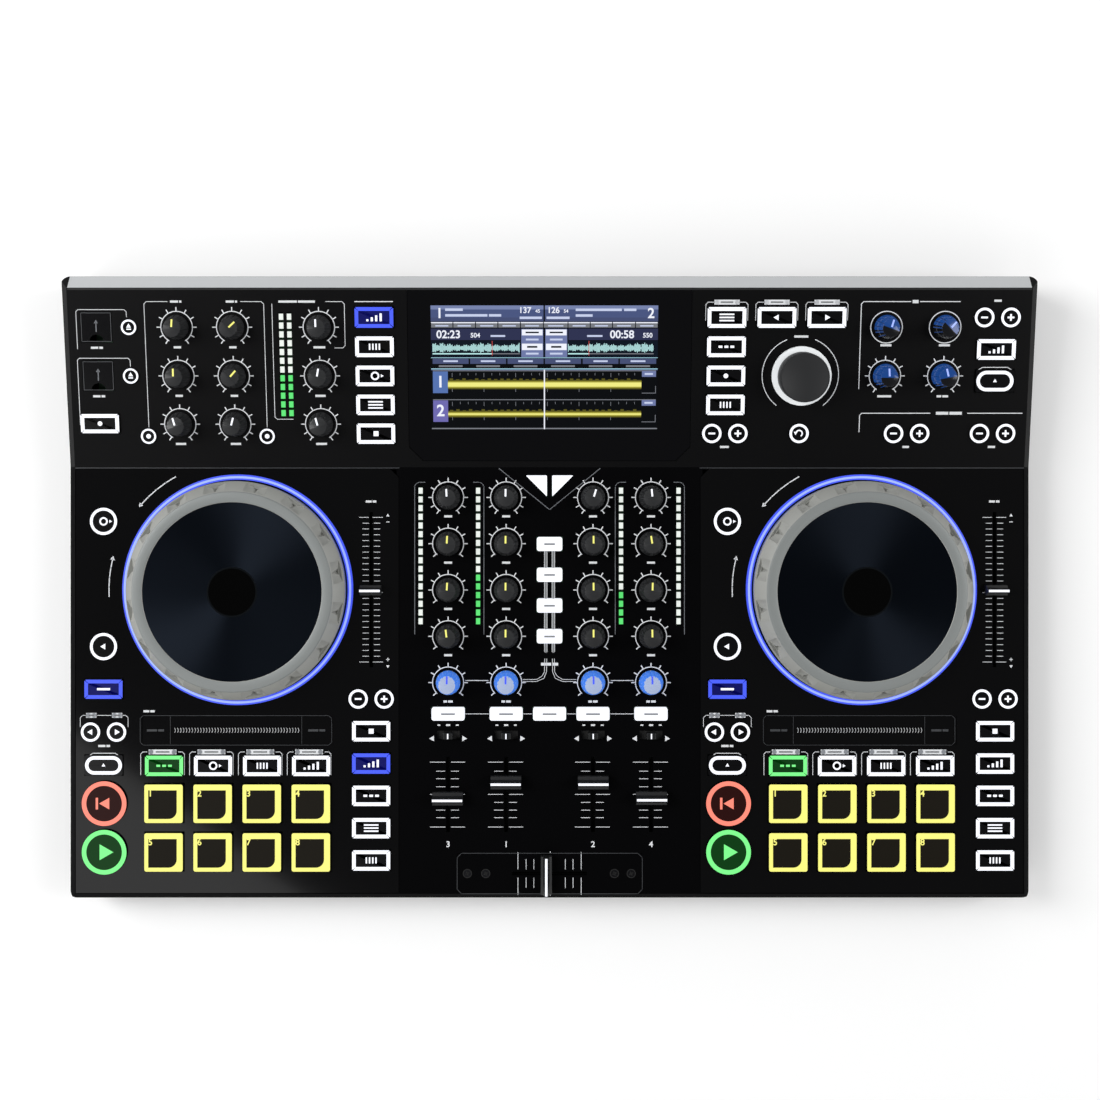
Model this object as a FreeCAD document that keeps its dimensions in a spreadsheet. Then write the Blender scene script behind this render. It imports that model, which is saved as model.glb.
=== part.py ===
"""Four-channel DJ controller, in millimetres.

The origin is on the standing surface under the middle of the case, +Y points to the rear and +Z up.
The front part of the top is level. The rear part rises behind the fold line at a small tilt, and what sits
there is drawn flat, in a frame that starts on the fold line, and is then tilted with it.
"""

import FreeCAD
import Part
import Sketcher
import os

doc = FreeCAD.newDocument("dj_controller")
sheet = doc.addObject("Spreadsheet::Sheet", "Size")

SIZES = {
    # Case: a floor, four walls and a top in two mouldings that meet at the fold line
    "case_width": 660,
    "case_depth": 425.5,
    "feet_height": 4,
    "deck_height": 34,
    "fold_from_front": 296.4,
    "rear_strip_depth": 8.55,
    "rear_strip_drop": 6,
    "tilt_angle": 8.55,
    "edge_bevel": 4.4,
    "front_bevel": 3.6,
    "corner_radius": 5,
    "case_wall": 2.5,
    "tray_floor": 2,
    "seat_gap": 0.3,
    "button_gap": 0.4,
    # Small round pieces and holes have flat sides, to keep a model with so many of them light
    "small_sides": 12,
    "large_sides": 20,
    "hidden_sides": 6,
    # Feet and case screws
    "foot_radius": 12,
    "foot_from_side": 40,
    "foot_from_end": 34,
    "screw_head_radius": 3.4,
    "screw_head_height": 1.4,
    "screw_shank_radius": 1.5,
    "screw_hole_gap": 0.25,
    "screw_length": 12,
    "screw_from_side": 14,
    "screw_from_front": 10.5,
    "middle_screw_from_front": 13.5,
    "screw_from_rear": 12,
    "screw_middle_x": 90,
    "pillar_radius": 5,
    # Deck plates, laid in recesses of the upper shell
    "deck_plate_thickness": 2,
    "deck_plate_edge": 5,
    "deck_plate_width": 221.5,
    "deck_plate_front": 4.15,
    "deck_plate_fold_gap": 0.45,
    "deck_plate_corner": 6.7,
    "deck_ledge": 1.4,
    # Jog wheels
    "jog_from_plate_edge": 111.25,
    "jog_from_front": 212.25,
    "jog_radius": 74.6,
    "jog_wall_height": 43,
    "jog_lip_radius": 67,
    "jog_disc_radius": 60.4,
    "jog_height": 54,
    "jog_disc_depth": 0.6,
    "jog_floor_height": 30,
    "jog_crown": 7,
    "spindle_radius": 6,
    "running_gap": 0.06,
    "scallop_count": 16,
    "scallop_width": 13,
    "scallop_depth": 0.9,
    "ring_gap": 0.8,
    "ring_width": 3.6,
    "ring_rise": 1.6,
    "ring_height": 7.5,
    # Buttons, all with a retaining flange under the panel
    "button_rise": 1.3,
    "button_travel": 1.2,
    "flange_width": 1,
    "flange_height": 1.2,
    "small_button_radius": 6.6,
    "tiny_button_radius": 5.2,
    "round_button_radius": 9.3,
    "transport_radius": 15.3,
    "transport_rise": 2.2,
    "key_length": 26.2,
    "key_width": 14,
    "rec_key_width": 13.2,
    "shift_key_width": 15.4,
    "pad_size": 26.8,
    "pad_rise": 2.6,
    "pair_spacing": 17.8,
    # Places on a deck, from the centre of its jog wheel
    "left_column": 91.9,
    "transport_column": 91.2,
    "right_column": 91.5,
    "slip_row": 46.9,
    "reverse_row": 38.9,
    "vinyl_row": 68.1,
    "track_row": 97.5,
    "shift_row": 120.3,
    "cue_row": 146.3,
    "pad_row_spacing": 33.3,
    "pad_spacing": 33.6,
    "mode_row": 120.6,
    "key_row": 96.9,
    "key_row_spacing": 22.13,
    "pitch_button_row": 74.8,
    "strip_row": 96.5,
    "strip_length": 131.4,
    "strip_width": 20.2,
    "strip_depth": 0.6,
    # Faders
    "pitch_travel": 100,
    "channel_travel": 45,
    "channel_fader_y": -141,
    "crossfader_y": -195.2,
    "fader_slot_width": 2.4,
    "fader_stem_width": 1.2,
    "fader_stem_length": 4,
    "fader_end_room": 1.2,
    "fader_cap_gap": 1,
    "fader_cap_height": 9.5,
    "fader_cap_shoulder": 4.5,
    "fader_cap_ridge": 2.2,
    "channel_cap_length": 21,
    "channel_cap_width": 9,
    "crossfader_cap_length": 26,
    "crossfader_cap_width": 7.7,
    "pitch_cap_length": 14.5,
    "pitch_cap_width": 7,
    "channel_1_rest": 9,
    "channel_2_rest": 9,
    "channel_3_rest": -2,
    "channel_4_rest": -1.6,
    "crossfader_rest": -2.2,
    "crossfader_plate_length": 126.2,
    "crossfader_plate_width": 27.3,
    "crossfader_plate_thickness": 1.2,
    "fader_body_width": 11,
    "fader_body_height": 9,
    "fader_body_end": 7,
    "fader_stem_depth": 5,
    # Mixer section, whose rows are measured from a line across the middle of the case
    "row_line_from_front": 212.75,
    "channel_inner_x": 29.8,
    "channel_outer_x": 69.6,
    "gain_row": 62.8,
    "mixer_row_spacing": 31.75,
    "meter_inner_x": 49.05,
    "meter_outer_x": 88.5,
    "meter_y": 22.6,
    "meter_length": 95,
    "meter_width": 2.8,
    "meter_height": 4,
    "layer_button_side": 14.5,
    "layer_button_rear": 77.9,
    "layer_button_spacing": 3.6,
    "fast_key_length": 17.5,
    "fast_key_width": 9.5,
    "fast_key_row": 30.8,
    "fast_key_spacing": 21.1,
    "channel_cue_length": 22.6,
    "channel_cue_width": 8.9,
    "channel_cue_y": -85.7,
    "assign_y": -100.4,
    "assign_length": 16,
    "assign_width": 6.4,
    "assign_travel": 3.5,
    "assign_lever_length": 6.4,
    "assign_lever_width": 4.2,
    "assign_lever_rise": 4.5,
    # Knobs
    "knob_radius": 8.4,
    "knob_top_radius": 5.9,
    "knob_height": 13.6,
    "knob_lift": 0.9,
    "knob_slope": 18,
    "knob_flutes": 14,
    "shaft_radius": 3,
    "shaft_hole_gap": 0.87,
    "pot_size": 14,
    "pot_height": 8,
    # Rear part of the top, measured up the slope from the fold line
    "rear_row": 102.2,
    "rear_row_spacing": 19.75,
    "knob_row": 95.6,
    "knob_row_spacing": 33,
    "lower_rear_row": 23.3,
    "usb_x": -306.7,
    "usb_cover_length": 20.8,
    "usb_cover_width": 20,
    "usb_cover_thickness": 2.1,
    "usb_pin_radius": 0.5,
    "usb_pin_gap": 0.15,
    "usb_pin_reach": 1.5,
    "eject_x": -284.4,
    "mic_x": -252.2,
    "mic_spacing": 37.6,
    "mic_switch_spread": 21.7,
    "mic_switch_row": 21.4,
    "rec_row": 30.1,
    "output_x": -156,
    "source_x": -118.5,
    "master_meter_x": -178.8,
    "master_meter_spacing": 5.4,
    "master_meter_row": 70,
    "master_meter_length": 71,
    "browse_x": 119.7,
    "browse_spacing": 33.75,
    "navigate_x": 170.4,
    "navigate_row": 63,
    "navigate_skirt_radius": 20,
    "navigate_skirt_height": 4.5,
    "navigate_cap_radius": 16.6,
    "navigate_cap_height": 12,
    "navigate_shaft_radius": 3,
    "navigate_depth": 6,
    "navigate_well": 8,
    "navigate_travel": 1.5,
    "effect_x": 227.9,
    "effect_spacing": 39.6,
    "beat_x": 302.5,
    "effect_on_row": 80.6,
    "effect_shift_row": 59.2,
    "beat_size_x": 243.8,
    # Display
    "window_half_width": 96,
    "window_front": 4.4,
    "window_length": 116.3,
    "window_corner": 9.7,
    "window_thickness": 1.4,
    "screen_x": -3.5,
    "screen_length": 153.7,
    "screen_width": 84,
    "screen_front": 26.2,
    "module_margin": 5,
    "module_height": 6,
    # Circuit boards
    "board_thickness": 1.6,
    "board_margin": 5,
    "board_inset": 20,
    "supply_length": 120,
    "supply_width": 70,
    # Rear sockets, measured from the middle of the rear panel
    "rear_window_length": 500,
    "rear_window_bottom": 13,
    "rear_window_height": 27,
    "rear_panel_thickness": 2.5,
    "rear_panel_lap": 2,
    "rear_panel_recess": 7.5,
    "power_plate_edge": -180,
    "data_plate_edge": -71,
    "output_plate_edge": 90,
    "socket_height": 25.5,
    "rca_radius": 4.15,
    "rca_reach": 9,
    "rca_pin_radius": 1.6,
    "rca_spacing": 14,
    "rca_pair_spacing": 20,
    "rca_first_x": -60,
    "rca_count": 8,
    "xlr_radius": 11,
    "xlr_bore_radius": 9.3,
    "xlr_depth": 14,
    "xlr_pin_radius": 1.2,
    "xlr_pin_circle": 4,
    "xlr_spacing": 30,
    "xlr_x": 120,
    "combo_x": -165,
    "jack_radius": 3.2,
    "jack_shell_radius": 5.5,
    "jack_depth": 30,
    "small_jack_radius": 1.75,
    "small_jack_shell_radius": 3.6,
    "small_jack_depth": 16,
    "small_jack_spacing": 16,
    "booth_x": 195,
    "booth_spacing": 20,
    "phones_x": -285,
    "phones_height": 16.1,
    "inlet_x": -225,
    "inlet_length": 24.4,
    "inlet_height": 16.4,
    "inlet_depth": 16,
    "socket_wall": 1.6,
    "inlet_pin": 4,
    "inlet_pin_thickness": 2,
    "inlet_pin_spacing": 7,
    "network_x": -102,
    "network_length": 12.4,
    "network_height": 10,
    "usb_b_x": -82,
    "usb_b_length": 8.6,
    "usb_b_height": 7.8,
    "data_socket_depth": 12,
    "power_switch_x": -195,
    "power_switch_width": 13,
    "power_switch_height": 18,
    "power_switch_depth": 14,
    "rocker_gap": 0.8,
    "rocker_pin_radius": 1.5,
    "rocker_pin_gap": 0.3,
    "rocker_angle": 8,
    "rocker_rise": 1.5,
}

for row, (alias, value) in enumerate(SIZES.items(), start=1):
    sheet.set(f"A{row}", alias)
    sheet.set(f"B{row}", str(value))
    sheet.setAlias(f"B{row}", alias)
doc.recompute()

# Formulas that several pieces share
FRONT_Y = "(-Size.case_depth / 2)"
FOLD_Y = "(Size.fold_from_front - Size.case_depth / 2)"
SLOPE_LENGTH = "((Size.case_depth - Size.fold_from_front - Size.rear_strip_depth) / cos(Size.tilt_angle))"
REAR_EDGE_Y = "(Size.case_depth / 2 - Size.rear_strip_depth)"
REAR_EDGE_Z = f"(Size.deck_height + {SLOPE_LENGTH} * sin(Size.tilt_angle))"
TOP_UNDERSIDE = "(Size.deck_height - Size.case_wall)"
DECK_UNDERSIDE = "(Size.deck_height - Size.deck_plate_thickness)"
LEDGE_UNDERSIDE = f"({DECK_UNDERSIDE} - Size.case_wall)"
TRAY_FLOOR = "(Size.feet_height + Size.tray_floor)"
BOARD_TOP = f"({TOP_UNDERSIDE} - Size.pot_height)"
PLATE_OUTER = "(Size.case_width / 2 - Size.deck_plate_edge)"
PLATE_INNER = f"({PLATE_OUTER} - Size.deck_plate_width)"
PLATE_FRONT = f"({FRONT_Y} + Size.deck_plate_front)"
PLATE_REAR = f"({FOLD_Y} - Size.deck_plate_fold_gap)"
JOG_X = f"({PLATE_OUTER} - Size.jog_from_plate_edge)"
JOG_Y = f"({FRONT_Y} + Size.jog_from_front)"
ROW_LINE = f"({FRONT_Y} + Size.row_line_from_front)"
GAIN_Y = f"({ROW_LINE} + Size.gain_row)"
METER_Y = f"({ROW_LINE} + Size.meter_y)"
CHANNEL_CUE_Y = f"({ROW_LINE} + Size.channel_cue_y)"
ASSIGN_Y = f"({ROW_LINE} + Size.assign_y)"
CHANNEL_FADER_Y = f"({ROW_LINE} + Size.channel_fader_y)"
CROSSFADER_Y = f"({ROW_LINE} + Size.crossfader_y)"
LAYER_REAR_Y = f"({ROW_LINE} + Size.layer_button_rear)"
SKIRT = f"(Size.deck_height - {LEDGE_UNDERSIDE})"
CHANNELS = {
    "3": "(-Size.channel_outer_x)",
    "1": "(-Size.channel_inner_x)",
    "2": "Size.channel_inner_x",
    "4": "Size.channel_outer_x",
}
SIDES = {"left": "(-1)", "right": "1"}

nodes = []


def value_of(formula):
    """The number that a formula gives now."""
    return float(sheet.evalExpression(formula))


def bind(piece, formulas):
    for path, formula in formulas.items():
        piece.setExpression(path, formula)


def put(piece, x, y, z):
    bind(piece, {"Placement.Base.x": x, "Placement.Base.y": y, "Placement.Base.z": z})


def turn(piece, axis, formula):
    """Turns a piece about an axis through its own origin."""
    base = piece.Placement.Base
    piece.Placement = FreeCAD.Placement(base, FreeCAD.Rotation(FreeCAD.Vector(*axis), 1))
    piece.setExpression("Placement.Rotation.Angle", formula)


def box(name, length, width, height, x, y, z):
    """A block centred on x and y, standing on z."""
    piece = doc.addObject("Part::Box", name)
    bind(piece, {"Length": length, "Width": width, "Height": height})
    put(piece, f"{x} - ({length}) / 2", f"{y} - ({width}) / 2", z)
    return piece


def disc(name, radius, height, x, y, z):
    piece = doc.addObject("Part::Cylinder", name)
    bind(piece, {"Radius": radius, "Height": height})
    put(piece, x, y, z)
    return piece


def post(name, radius, height, x, y, z, sides="Size.hidden_sides"):
    """An upright prism, for what is round but small or out of sight."""
    piece = doc.addObject("Part::Prism", name)
    bind(piece, {"Polygon": sides, "Circumradius": radius, "Height": height})
    put(piece, x, y, z)
    return piece


def rod(name, radius, length, x, y, z, axis, sides="Size.hidden_sides"):
    """A prism that starts at x, y, z and runs along +X ("x") or +Y ("y")."""
    piece = post(name, radius, length, x, y, z, sides)
    direction = {"x": FreeCAD.Vector(1, 0, 0), "y": FreeCAD.Vector(0, 1, 0)}[axis]
    piece.Placement = FreeCAD.Placement(
        piece.Placement.Base, FreeCAD.Rotation(FreeCAD.Vector(0, 0, 1), direction)
    )
    return piece


def fuse(name, pieces):
    joined = doc.addObject("Part::MultiFuse", name)
    joined.Shapes = pieces
    joined.Refine = True
    return joined


def group(name, pieces):
    together = doc.addObject("Part::Compound", name)
    together.Links = pieces
    return together


def cut(name, base, tools):
    result = doc.addObject("Part::Cut", name)
    result.Base = base
    result.Tool = tools[0] if len(tools) == 1 else group(name + "_tools", tools)
    return result


def on_slope(piece):
    """Tilts what was drawn flat from the fold line into its place on the rear part."""
    turn(piece, (1, 0, 0), "Size.tilt_angle")
    put(piece, "0", FOLD_Y, "Size.deck_height")
    return piece


def node(piece, label):
    """Marks a finished sub-part, whose label names its file."""
    piece.Label = label
    nodes.append(piece)
    return piece


def origin_plane(body, role):
    return next(f for f in body.Origin.OriginFeatures if f.Role == role)


def sketch_on(body, name, role):
    sketch = body.newObject("Sketcher::SketchObject", name)
    sketch.AttachmentSupport = [(origin_plane(body, role), "")]
    sketch.MapMode = "FlatFace"
    return sketch


def polygon(body, name, role, corners):
    """A closed outline, each corner given by two formulas and tied to the sheet."""
    sketch = sketch_on(body, name, role)
    points = [FreeCAD.Vector(value_of(a), value_of(b), 0) for a, b in corners]
    for i, point in enumerate(points):
        after = points[(i + 1) % len(points)]
        sketch.addGeometry(Part.LineSegment(point, after), False)
    for i in range(len(points)):
        sketch.addConstraint(
            Sketcher.Constraint("Coincident", i, 2, (i + 1) % len(points), 1)
        )
    for i, (a, b) in enumerate(corners):
        for kind, formula, at in (("DistanceX", a, points[i].x), ("DistanceY", b, points[i].y)):
            index = sketch.addConstraint(Sketcher.Constraint(kind, -1, 1, i, 1, at))
            sketch.setExpression(f"Constraints[{index}]", formula)
    return sketch


def pad(body, name, sketch, length, midplane=False):
    feature = body.newObject("PartDesign::Pad", name)
    feature.Profile = sketch
    feature.setExpression("Length", length)
    feature.Midplane = midplane
    return feature


def plate(name, corners, height, z):
    """A flat piece of any outline, standing on z."""
    body = doc.addObject("PartDesign::Body", name)
    pad(body, name + "_pad", polygon(body, name + "_outline", "XY_Plane", corners), height)
    put(body, "0", "0", z)
    return body


def edges_where(feature, test):
    found = []
    for i, edge in enumerate(feature.Shape.Edges, start=1):
        if test(edge):
            found.append(f"Edge{i}")
    return found


def is_corner(edge):
    """An upright edge at a corner of the case's plan."""
    low, high = edge.BoundBox, value_of("Size.case_width / 2")
    deep = value_of("Size.case_depth / 2")
    upright = low.XLength < 1e-6 and low.YLength < 1e-6
    outside = abs(abs(low.XMin) - high) < 1e-6 and abs(abs(low.YMin) - deep) < 1e-6
    return upright and outside


def round_corners(body, name, base):
    doc.recompute()
    fillet = body.newObject("PartDesign::Fillet", name)
    fillet.Base = (base, edges_where(base, is_corner))
    fillet.setExpression("Radius", "Size.corner_radius")
    return fillet


def key(name, length, width, x, y, rise, underside):
    """A rectangular button: a cap through the panel and a flange that holds it from below."""
    flange_top = f"({underside} - Size.seat_gap)"
    flange_bottom = f"({flange_top} - Size.flange_height)"
    cap = box(name + "_cap", length, width, f"Size.deck_height * {rise[0]} + {rise[1]} - {flange_top}",
              x, y, flange_top)
    flange = box(name + "_flange", f"{length} + 2 * Size.flange_width",
                 f"{width} + 2 * Size.flange_width", "Size.flange_height", x, y, flange_bottom)
    return fuse(name, [cap, flange])


def round_key(name, radius, x, y, rise, underside, sides):
    """A round button on a square flange."""
    flange_top = f"({underside} - Size.seat_gap)"
    flange_bottom = f"({flange_top} - Size.flange_height)"
    side = f"2 * ({radius} + Size.flange_width)"
    cap = post(name + "_cap", radius, f"Size.deck_height * {rise[0]} + {rise[1]} - {flange_top}",
               x, y, flange_top, sides)
    flange = box(name + "_flange", side, side, "Size.flange_height", x, y, flange_bottom)
    return fuse(name, [cap, flange])


# What a button rises above: the level deck, or the slope's own zero height
DECK = (1, "Size.button_rise")
DECK_TRANSPORT = (1, "Size.transport_rise")
DECK_PAD = (1, "Size.pad_rise")
SLOPE = (0, "Size.button_rise")
SLOPE_UNDERSIDE = "(-Size.case_wall)"


def key_hole(name, length, width, x, y, z, depth):
    return box(name, f"{length} + 2 * Size.button_gap", f"{width} + 2 * Size.button_gap", depth, x, y, z)


def round_hole(name, radius, x, y, z, depth, gap="Size.button_gap", sides="Size.small_sides"):
    return post(name, f"{radius} + {gap}", depth, x, y, z, sides)


SMALL = "Size.small_sides"
LARGE = "Size.large_sides"

# The controls of one deck, as offsets from its jog wheel: name, size and place
ROUND_DECK_KEYS = [
    ("slip", "Size.round_button_radius", "-Size.left_column", "Size.slip_row", DECK, SMALL),
    ("reverse", "Size.round_button_radius", "-Size.left_column", "-Size.reverse_row", DECK, SMALL),
    ("track_back", "Size.small_button_radius", "-Size.left_column - Size.pair_spacing / 2",
     "-Size.track_row", DECK, SMALL),
    ("track_on", "Size.small_button_radius", "-Size.left_column + Size.pair_spacing / 2",
     "-Size.track_row", DECK, SMALL),
    ("cue", "Size.transport_radius", "-Size.transport_column", "-Size.cue_row", DECK_TRANSPORT, LARGE),
    ("play", "Size.transport_radius", "-Size.transport_column",
     "-Size.cue_row - Size.pad_row_spacing", DECK_TRANSPORT, LARGE),
    ("pitch_down", "Size.small_button_radius", "Size.right_column - Size.pair_spacing / 2",
     "-Size.pitch_button_row", DECK, SMALL),
    ("pitch_up", "Size.small_button_radius", "Size.right_column + Size.pair_spacing / 2",
     "-Size.pitch_button_row", DECK, SMALL),
]
FLAT_DECK_KEYS = [
    ("vinyl", "Size.key_length", "Size.rec_key_width", "-Size.left_column", "-Size.vinyl_row"),
    ("shift", "Size.key_length", "Size.key_width", "-Size.left_column", "-Size.shift_row"),
]
for i in range(5):
    FLAT_DECK_KEYS.append((f"key_{i + 1}", "Size.key_length", "Size.key_width", "Size.right_column",
                           f"-Size.key_row - {i} * Size.key_row_spacing"))
for i in range(4):
    FLAT_DECK_KEYS.append((f"mode_{i + 1}", "Size.key_length", "Size.key_width",
                           f"({i} - 1.5) * Size.pad_spacing", "-Size.mode_row"))
PADS = []
for i in range(8):
    PADS.append((f"pad_{i + 1}", f"({i % 4} - 1.5) * Size.pad_spacing",
                 f"-Size.cue_row - {i // 4} * Size.pad_row_spacing"))

# The buttons of the rear part: name, size and place on the slope
ROUND_SLOPE_KEYS = [
    ("eject_1", "Size.tiny_button_radius", "Size.eject_x", "Size.knob_row"),
    ("eject_2", "Size.tiny_button_radius", "Size.eject_x", "Size.knob_row - Size.knob_row_spacing"),
    ("mic_on_1", "Size.tiny_button_radius", "Size.mic_x - Size.mic_switch_spread", "Size.mic_switch_row"),
    ("mic_on_2", "Size.tiny_button_radius", "Size.mic_x + Size.mic_spacing + Size.mic_switch_spread",
     "Size.mic_switch_row"),
    ("back", "Size.small_button_radius", "Size.navigate_x", "Size.lower_rear_row"),
]
for pair, centre, up in (("zoom", "Size.browse_x", "Size.lower_rear_row"),
                         ("beat_size", "Size.beat_size_x", "Size.lower_rear_row"),
                         ("grid", "Size.beat_x", "Size.lower_rear_row"),
                         ("beat", "Size.beat_x", "Size.rear_row")):
    for end, sign in (("down", "-"), ("up", "+")):
        ROUND_SLOPE_KEYS.append((f"{pair}_{end}", "Size.small_button_radius",
                                 f"{centre} {sign} Size.pair_spacing / 2", up))
FLAT_SLOPE_KEYS = [
    ("record", "Size.key_length", "Size.rec_key_width", "Size.usb_x", "Size.rec_row"),
    ("effect_on", "Size.key_length", "Size.key_width", "Size.beat_x", "Size.effect_on_row"),
    ("effect_shift", "Size.key_length", "Size.shift_key_width", "Size.beat_x", "Size.effect_shift_row"),
]
for i in range(5):
    FLAT_SLOPE_KEYS.append((f"source_{i + 1}", "Size.key_length", "Size.key_width", "Size.source_x",
                            f"Size.rear_row - {i} * Size.rear_row_spacing"))
for i in range(3):
    FLAT_SLOPE_KEYS.append((f"browse_{i + 1}", "Size.key_length", "Size.key_width",
                            f"Size.browse_x + {i} * Size.browse_spacing", "Size.rear_row"))
    FLAT_SLOPE_KEYS.append((f"list_{i + 1}", "Size.key_length", "Size.key_width", "Size.browse_x",
                            f"Size.rear_row - {i + 1} * Size.rear_row_spacing"))

# The buttons of the mixer section
MIXER_KEYS = []
for i in range(4):
    MIXER_KEYS.append((f"fast_{i + 1}", "Size.fast_key_length", "Size.fast_key_width", "0",
                       f"{ROW_LINE} + Size.fast_key_row - {i} * Size.fast_key_spacing"))
for channel, x in {**CHANNELS, "master": "0"}.items():
    MIXER_KEYS.append((f"cue_{channel}", "Size.channel_cue_length", "Size.channel_cue_width", x,
                       CHANNEL_CUE_Y))

# Knob places: the mixer's on the level part, the others on the slope
MIXER_KNOBS = {}
for line, title in enumerate(("gain", "high", "mid", "low", "fx_mix")):
    for channel, x in CHANNELS.items():
        MIXER_KNOBS[f"{title}_knob_{channel}"] = (x, f"{GAIN_Y} - {line} * Size.mixer_row_spacing")
SLOPE_KNOBS = {}
for line, title in enumerate(("master", "booth", "phones")):
    SLOPE_KNOBS[f"{title}_knob"] = ("Size.output_x", f"Size.knob_row - {line} * Size.knob_row_spacing")
for i, title in enumerate(("source", "effect", "parameter", "dry_wet")):
    SLOPE_KNOBS[f"fx_{title}_knob"] = (f"Size.effect_x + {i % 2} * Size.effect_spacing",
                                       f"Size.knob_row - {i // 2} * Size.knob_row_spacing")
MIC_KNOBS = {}
for i in range(6):
    MIC_KNOBS[f"mic_knob_{i + 1}"] = (f"Size.mic_x + {i % 2} * Size.mic_spacing",
                                      f"Size.knob_row - {i // 2} * Size.knob_row_spacing")

THROUGH = "(3 * Size.case_wall)"
BELOW_TOP = f"(Size.deck_height - {THROUGH} / 2)"
BELOW_SLOPE = f"(-{THROUGH} / 2)"


def deck_outline(side, gap):
    """A deck plate's corners, grown by a gap; its inner rear corner is cut off."""
    outer = f"{side} * ({PLATE_OUTER} + {gap})"
    inner = f"{side} * ({PLATE_INNER} - {gap})"
    shoulder = f"{side} * ({PLATE_INNER} - {gap} + Size.deck_plate_corner)"
    front = f"{PLATE_FRONT} - {gap}"
    rear = f"{PLATE_REAR} + {gap}"
    cheek = f"{PLATE_REAR} + {gap} - Size.deck_plate_corner"
    return [(outer, front), (inner, front), (inner, cheek), (shoulder, rear), (outer, rear)]


def deck_x(side, offset):
    return f"{side} * {JOG_X} + ({offset})"


def deck_y(offset):
    return f"{JOG_Y} + ({offset})"


def fader_slot(name, travel, x, y, z, depth, along):
    """The slot that a fader's stem runs in."""
    long = f"{travel} + Size.fader_stem_length + 2 * Size.fader_end_room"
    if along == "y":
        return box(name, "Size.fader_slot_width", long, depth, x, y, z)
    return box(name, long, "Size.fader_slot_width", depth, x, y, z)


def is_top_side(edge):
    """A long edge between the top and a side wall."""
    low = edge.BoundBox
    at_side = low.XLength < 1e-6 and abs(abs(low.XMin) - value_of("Size.case_width / 2")) < 1e-6
    on_top = low.ZMin > value_of("Size.deck_height") - 1e-6
    return at_side and on_top and low.YLength > value_of("2 * Size.rear_strip_depth")


def moulding(name, profile):
    """One part of the top: a side view drawn out over the width, with bevelled sides and round corners."""
    body = doc.addObject("PartDesign::Body", name)
    block = pad(body, name + "_block", polygon(body, name + "_profile", "YZ_Plane", profile),
                "Size.case_width", midplane=True)
    doc.recompute()
    bevel = body.newObject("PartDesign::Chamfer", name + "_bevel")
    bevel.Base = (block, edges_where(block, is_top_side))
    bevel.setExpression("Size", "Size.edge_bevel")
    body.Tip = round_corners(body, name + "_corners", bevel)
    return body


# Top of the case in two mouldings that meet at the fold line
STRIP_FOOT = f"({REAR_EDGE_Z} - Size.rear_strip_drop)"
level_top = moulding("level_top", [
    (FRONT_Y, LEDGE_UNDERSIDE), (FOLD_Y, LEDGE_UNDERSIDE), (FOLD_Y, "Size.deck_height"),
    (f"{FRONT_Y} + Size.front_bevel", "Size.deck_height"),
    (FRONT_Y, "Size.deck_height - Size.front_bevel")])
slope_top = moulding("slope_top", [
    (FOLD_Y, LEDGE_UNDERSIDE), (REAR_EDGE_Y, f"{REAR_EDGE_Z} - {SKIRT}"),
    ("Size.case_depth / 2", f"{STRIP_FOOT} - {SKIRT}"), ("Size.case_depth / 2", STRIP_FOOT),
    (REAR_EDGE_Y, REAR_EDGE_Z), (FOLD_Y, "Size.deck_height")])
hollow = slope_top.newObject("PartDesign::Pocket", "slope_hollow")
hollow.Profile = polygon(slope_top, "hollow_profile", "YZ_Plane", [
    (FOLD_Y, TOP_UNDERSIDE), (FOLD_Y, TRAY_FLOOR), ("Size.case_depth / 2 - Size.case_wall", TRAY_FLOOR),
    ("Size.case_depth / 2 - Size.case_wall", f"{STRIP_FOOT} - Size.case_wall"),
    (REAR_EDGE_Y, f"{REAR_EDGE_Z} - Size.case_wall / cos(Size.tilt_angle)")])
hollow.Midplane = True
hollow.setExpression("Length", "Size.case_width - 2 * Size.edge_bevel")
slope_top.Tip = hollow

# Under the mixer section the skin is as thin as on the rear part
level_cuts = [box("mixer_relief", f"2 * ({PLATE_INNER} - Size.case_wall)",
                  f"{FOLD_Y} - {FRONT_Y} - 2 * Size.front_bevel", f"{TOP_UNDERSIDE} - {BOARD_TOP}", "0",
                  f"({FOLD_Y} + {FRONT_Y} + 2 * Size.front_bevel) / 2", BOARD_TOP)]
slope_cuts = []
for side, sign in SIDES.items():
    recess_depth = "Size.deck_plate_thickness"
    level_cuts.append(plate(f"deck_recess_{side}", deck_outline(sign, "Size.seat_gap"),
                            f"{recess_depth} + Size.case_wall", DECK_UNDERSIDE))
    level_cuts.append(box(f"deck_window_{side}", "Size.deck_plate_width - 2 * Size.deck_ledge",
                          f"{PLATE_REAR} - {PLATE_FRONT} - 2 * Size.deck_ledge", THROUGH,
                          f"{sign} * ({PLATE_OUTER} + {PLATE_INNER}) / 2",
                          f"({PLATE_REAR} + {PLATE_FRONT}) / 2", f"{DECK_UNDERSIDE} - {THROUGH} / 2"))
for name, length, width, x, y in MIXER_KEYS:
    level_cuts.append(key_hole(name + "_hole", length, width, x, y, BELOW_TOP, THROUGH))
for name, (x, y) in MIXER_KNOBS.items():
    level_cuts.append(round_hole(name + "_hole", "Size.shaft_radius", x, y, BELOW_TOP, THROUGH,
                                 "Size.shaft_hole_gap", "Size.hidden_sides"))
for channel, x in CHANNELS.items():
    level_cuts.append(fader_slot(f"channel_slot_{channel}", "Size.channel_travel", x,
                                 CHANNEL_FADER_Y, BELOW_TOP, THROUGH, "y"))
    level_cuts.append(box(f"assign_hole_{channel}", "Size.assign_length", "Size.assign_width", THROUGH,
                          x, ASSIGN_Y, BELOW_TOP))
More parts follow.
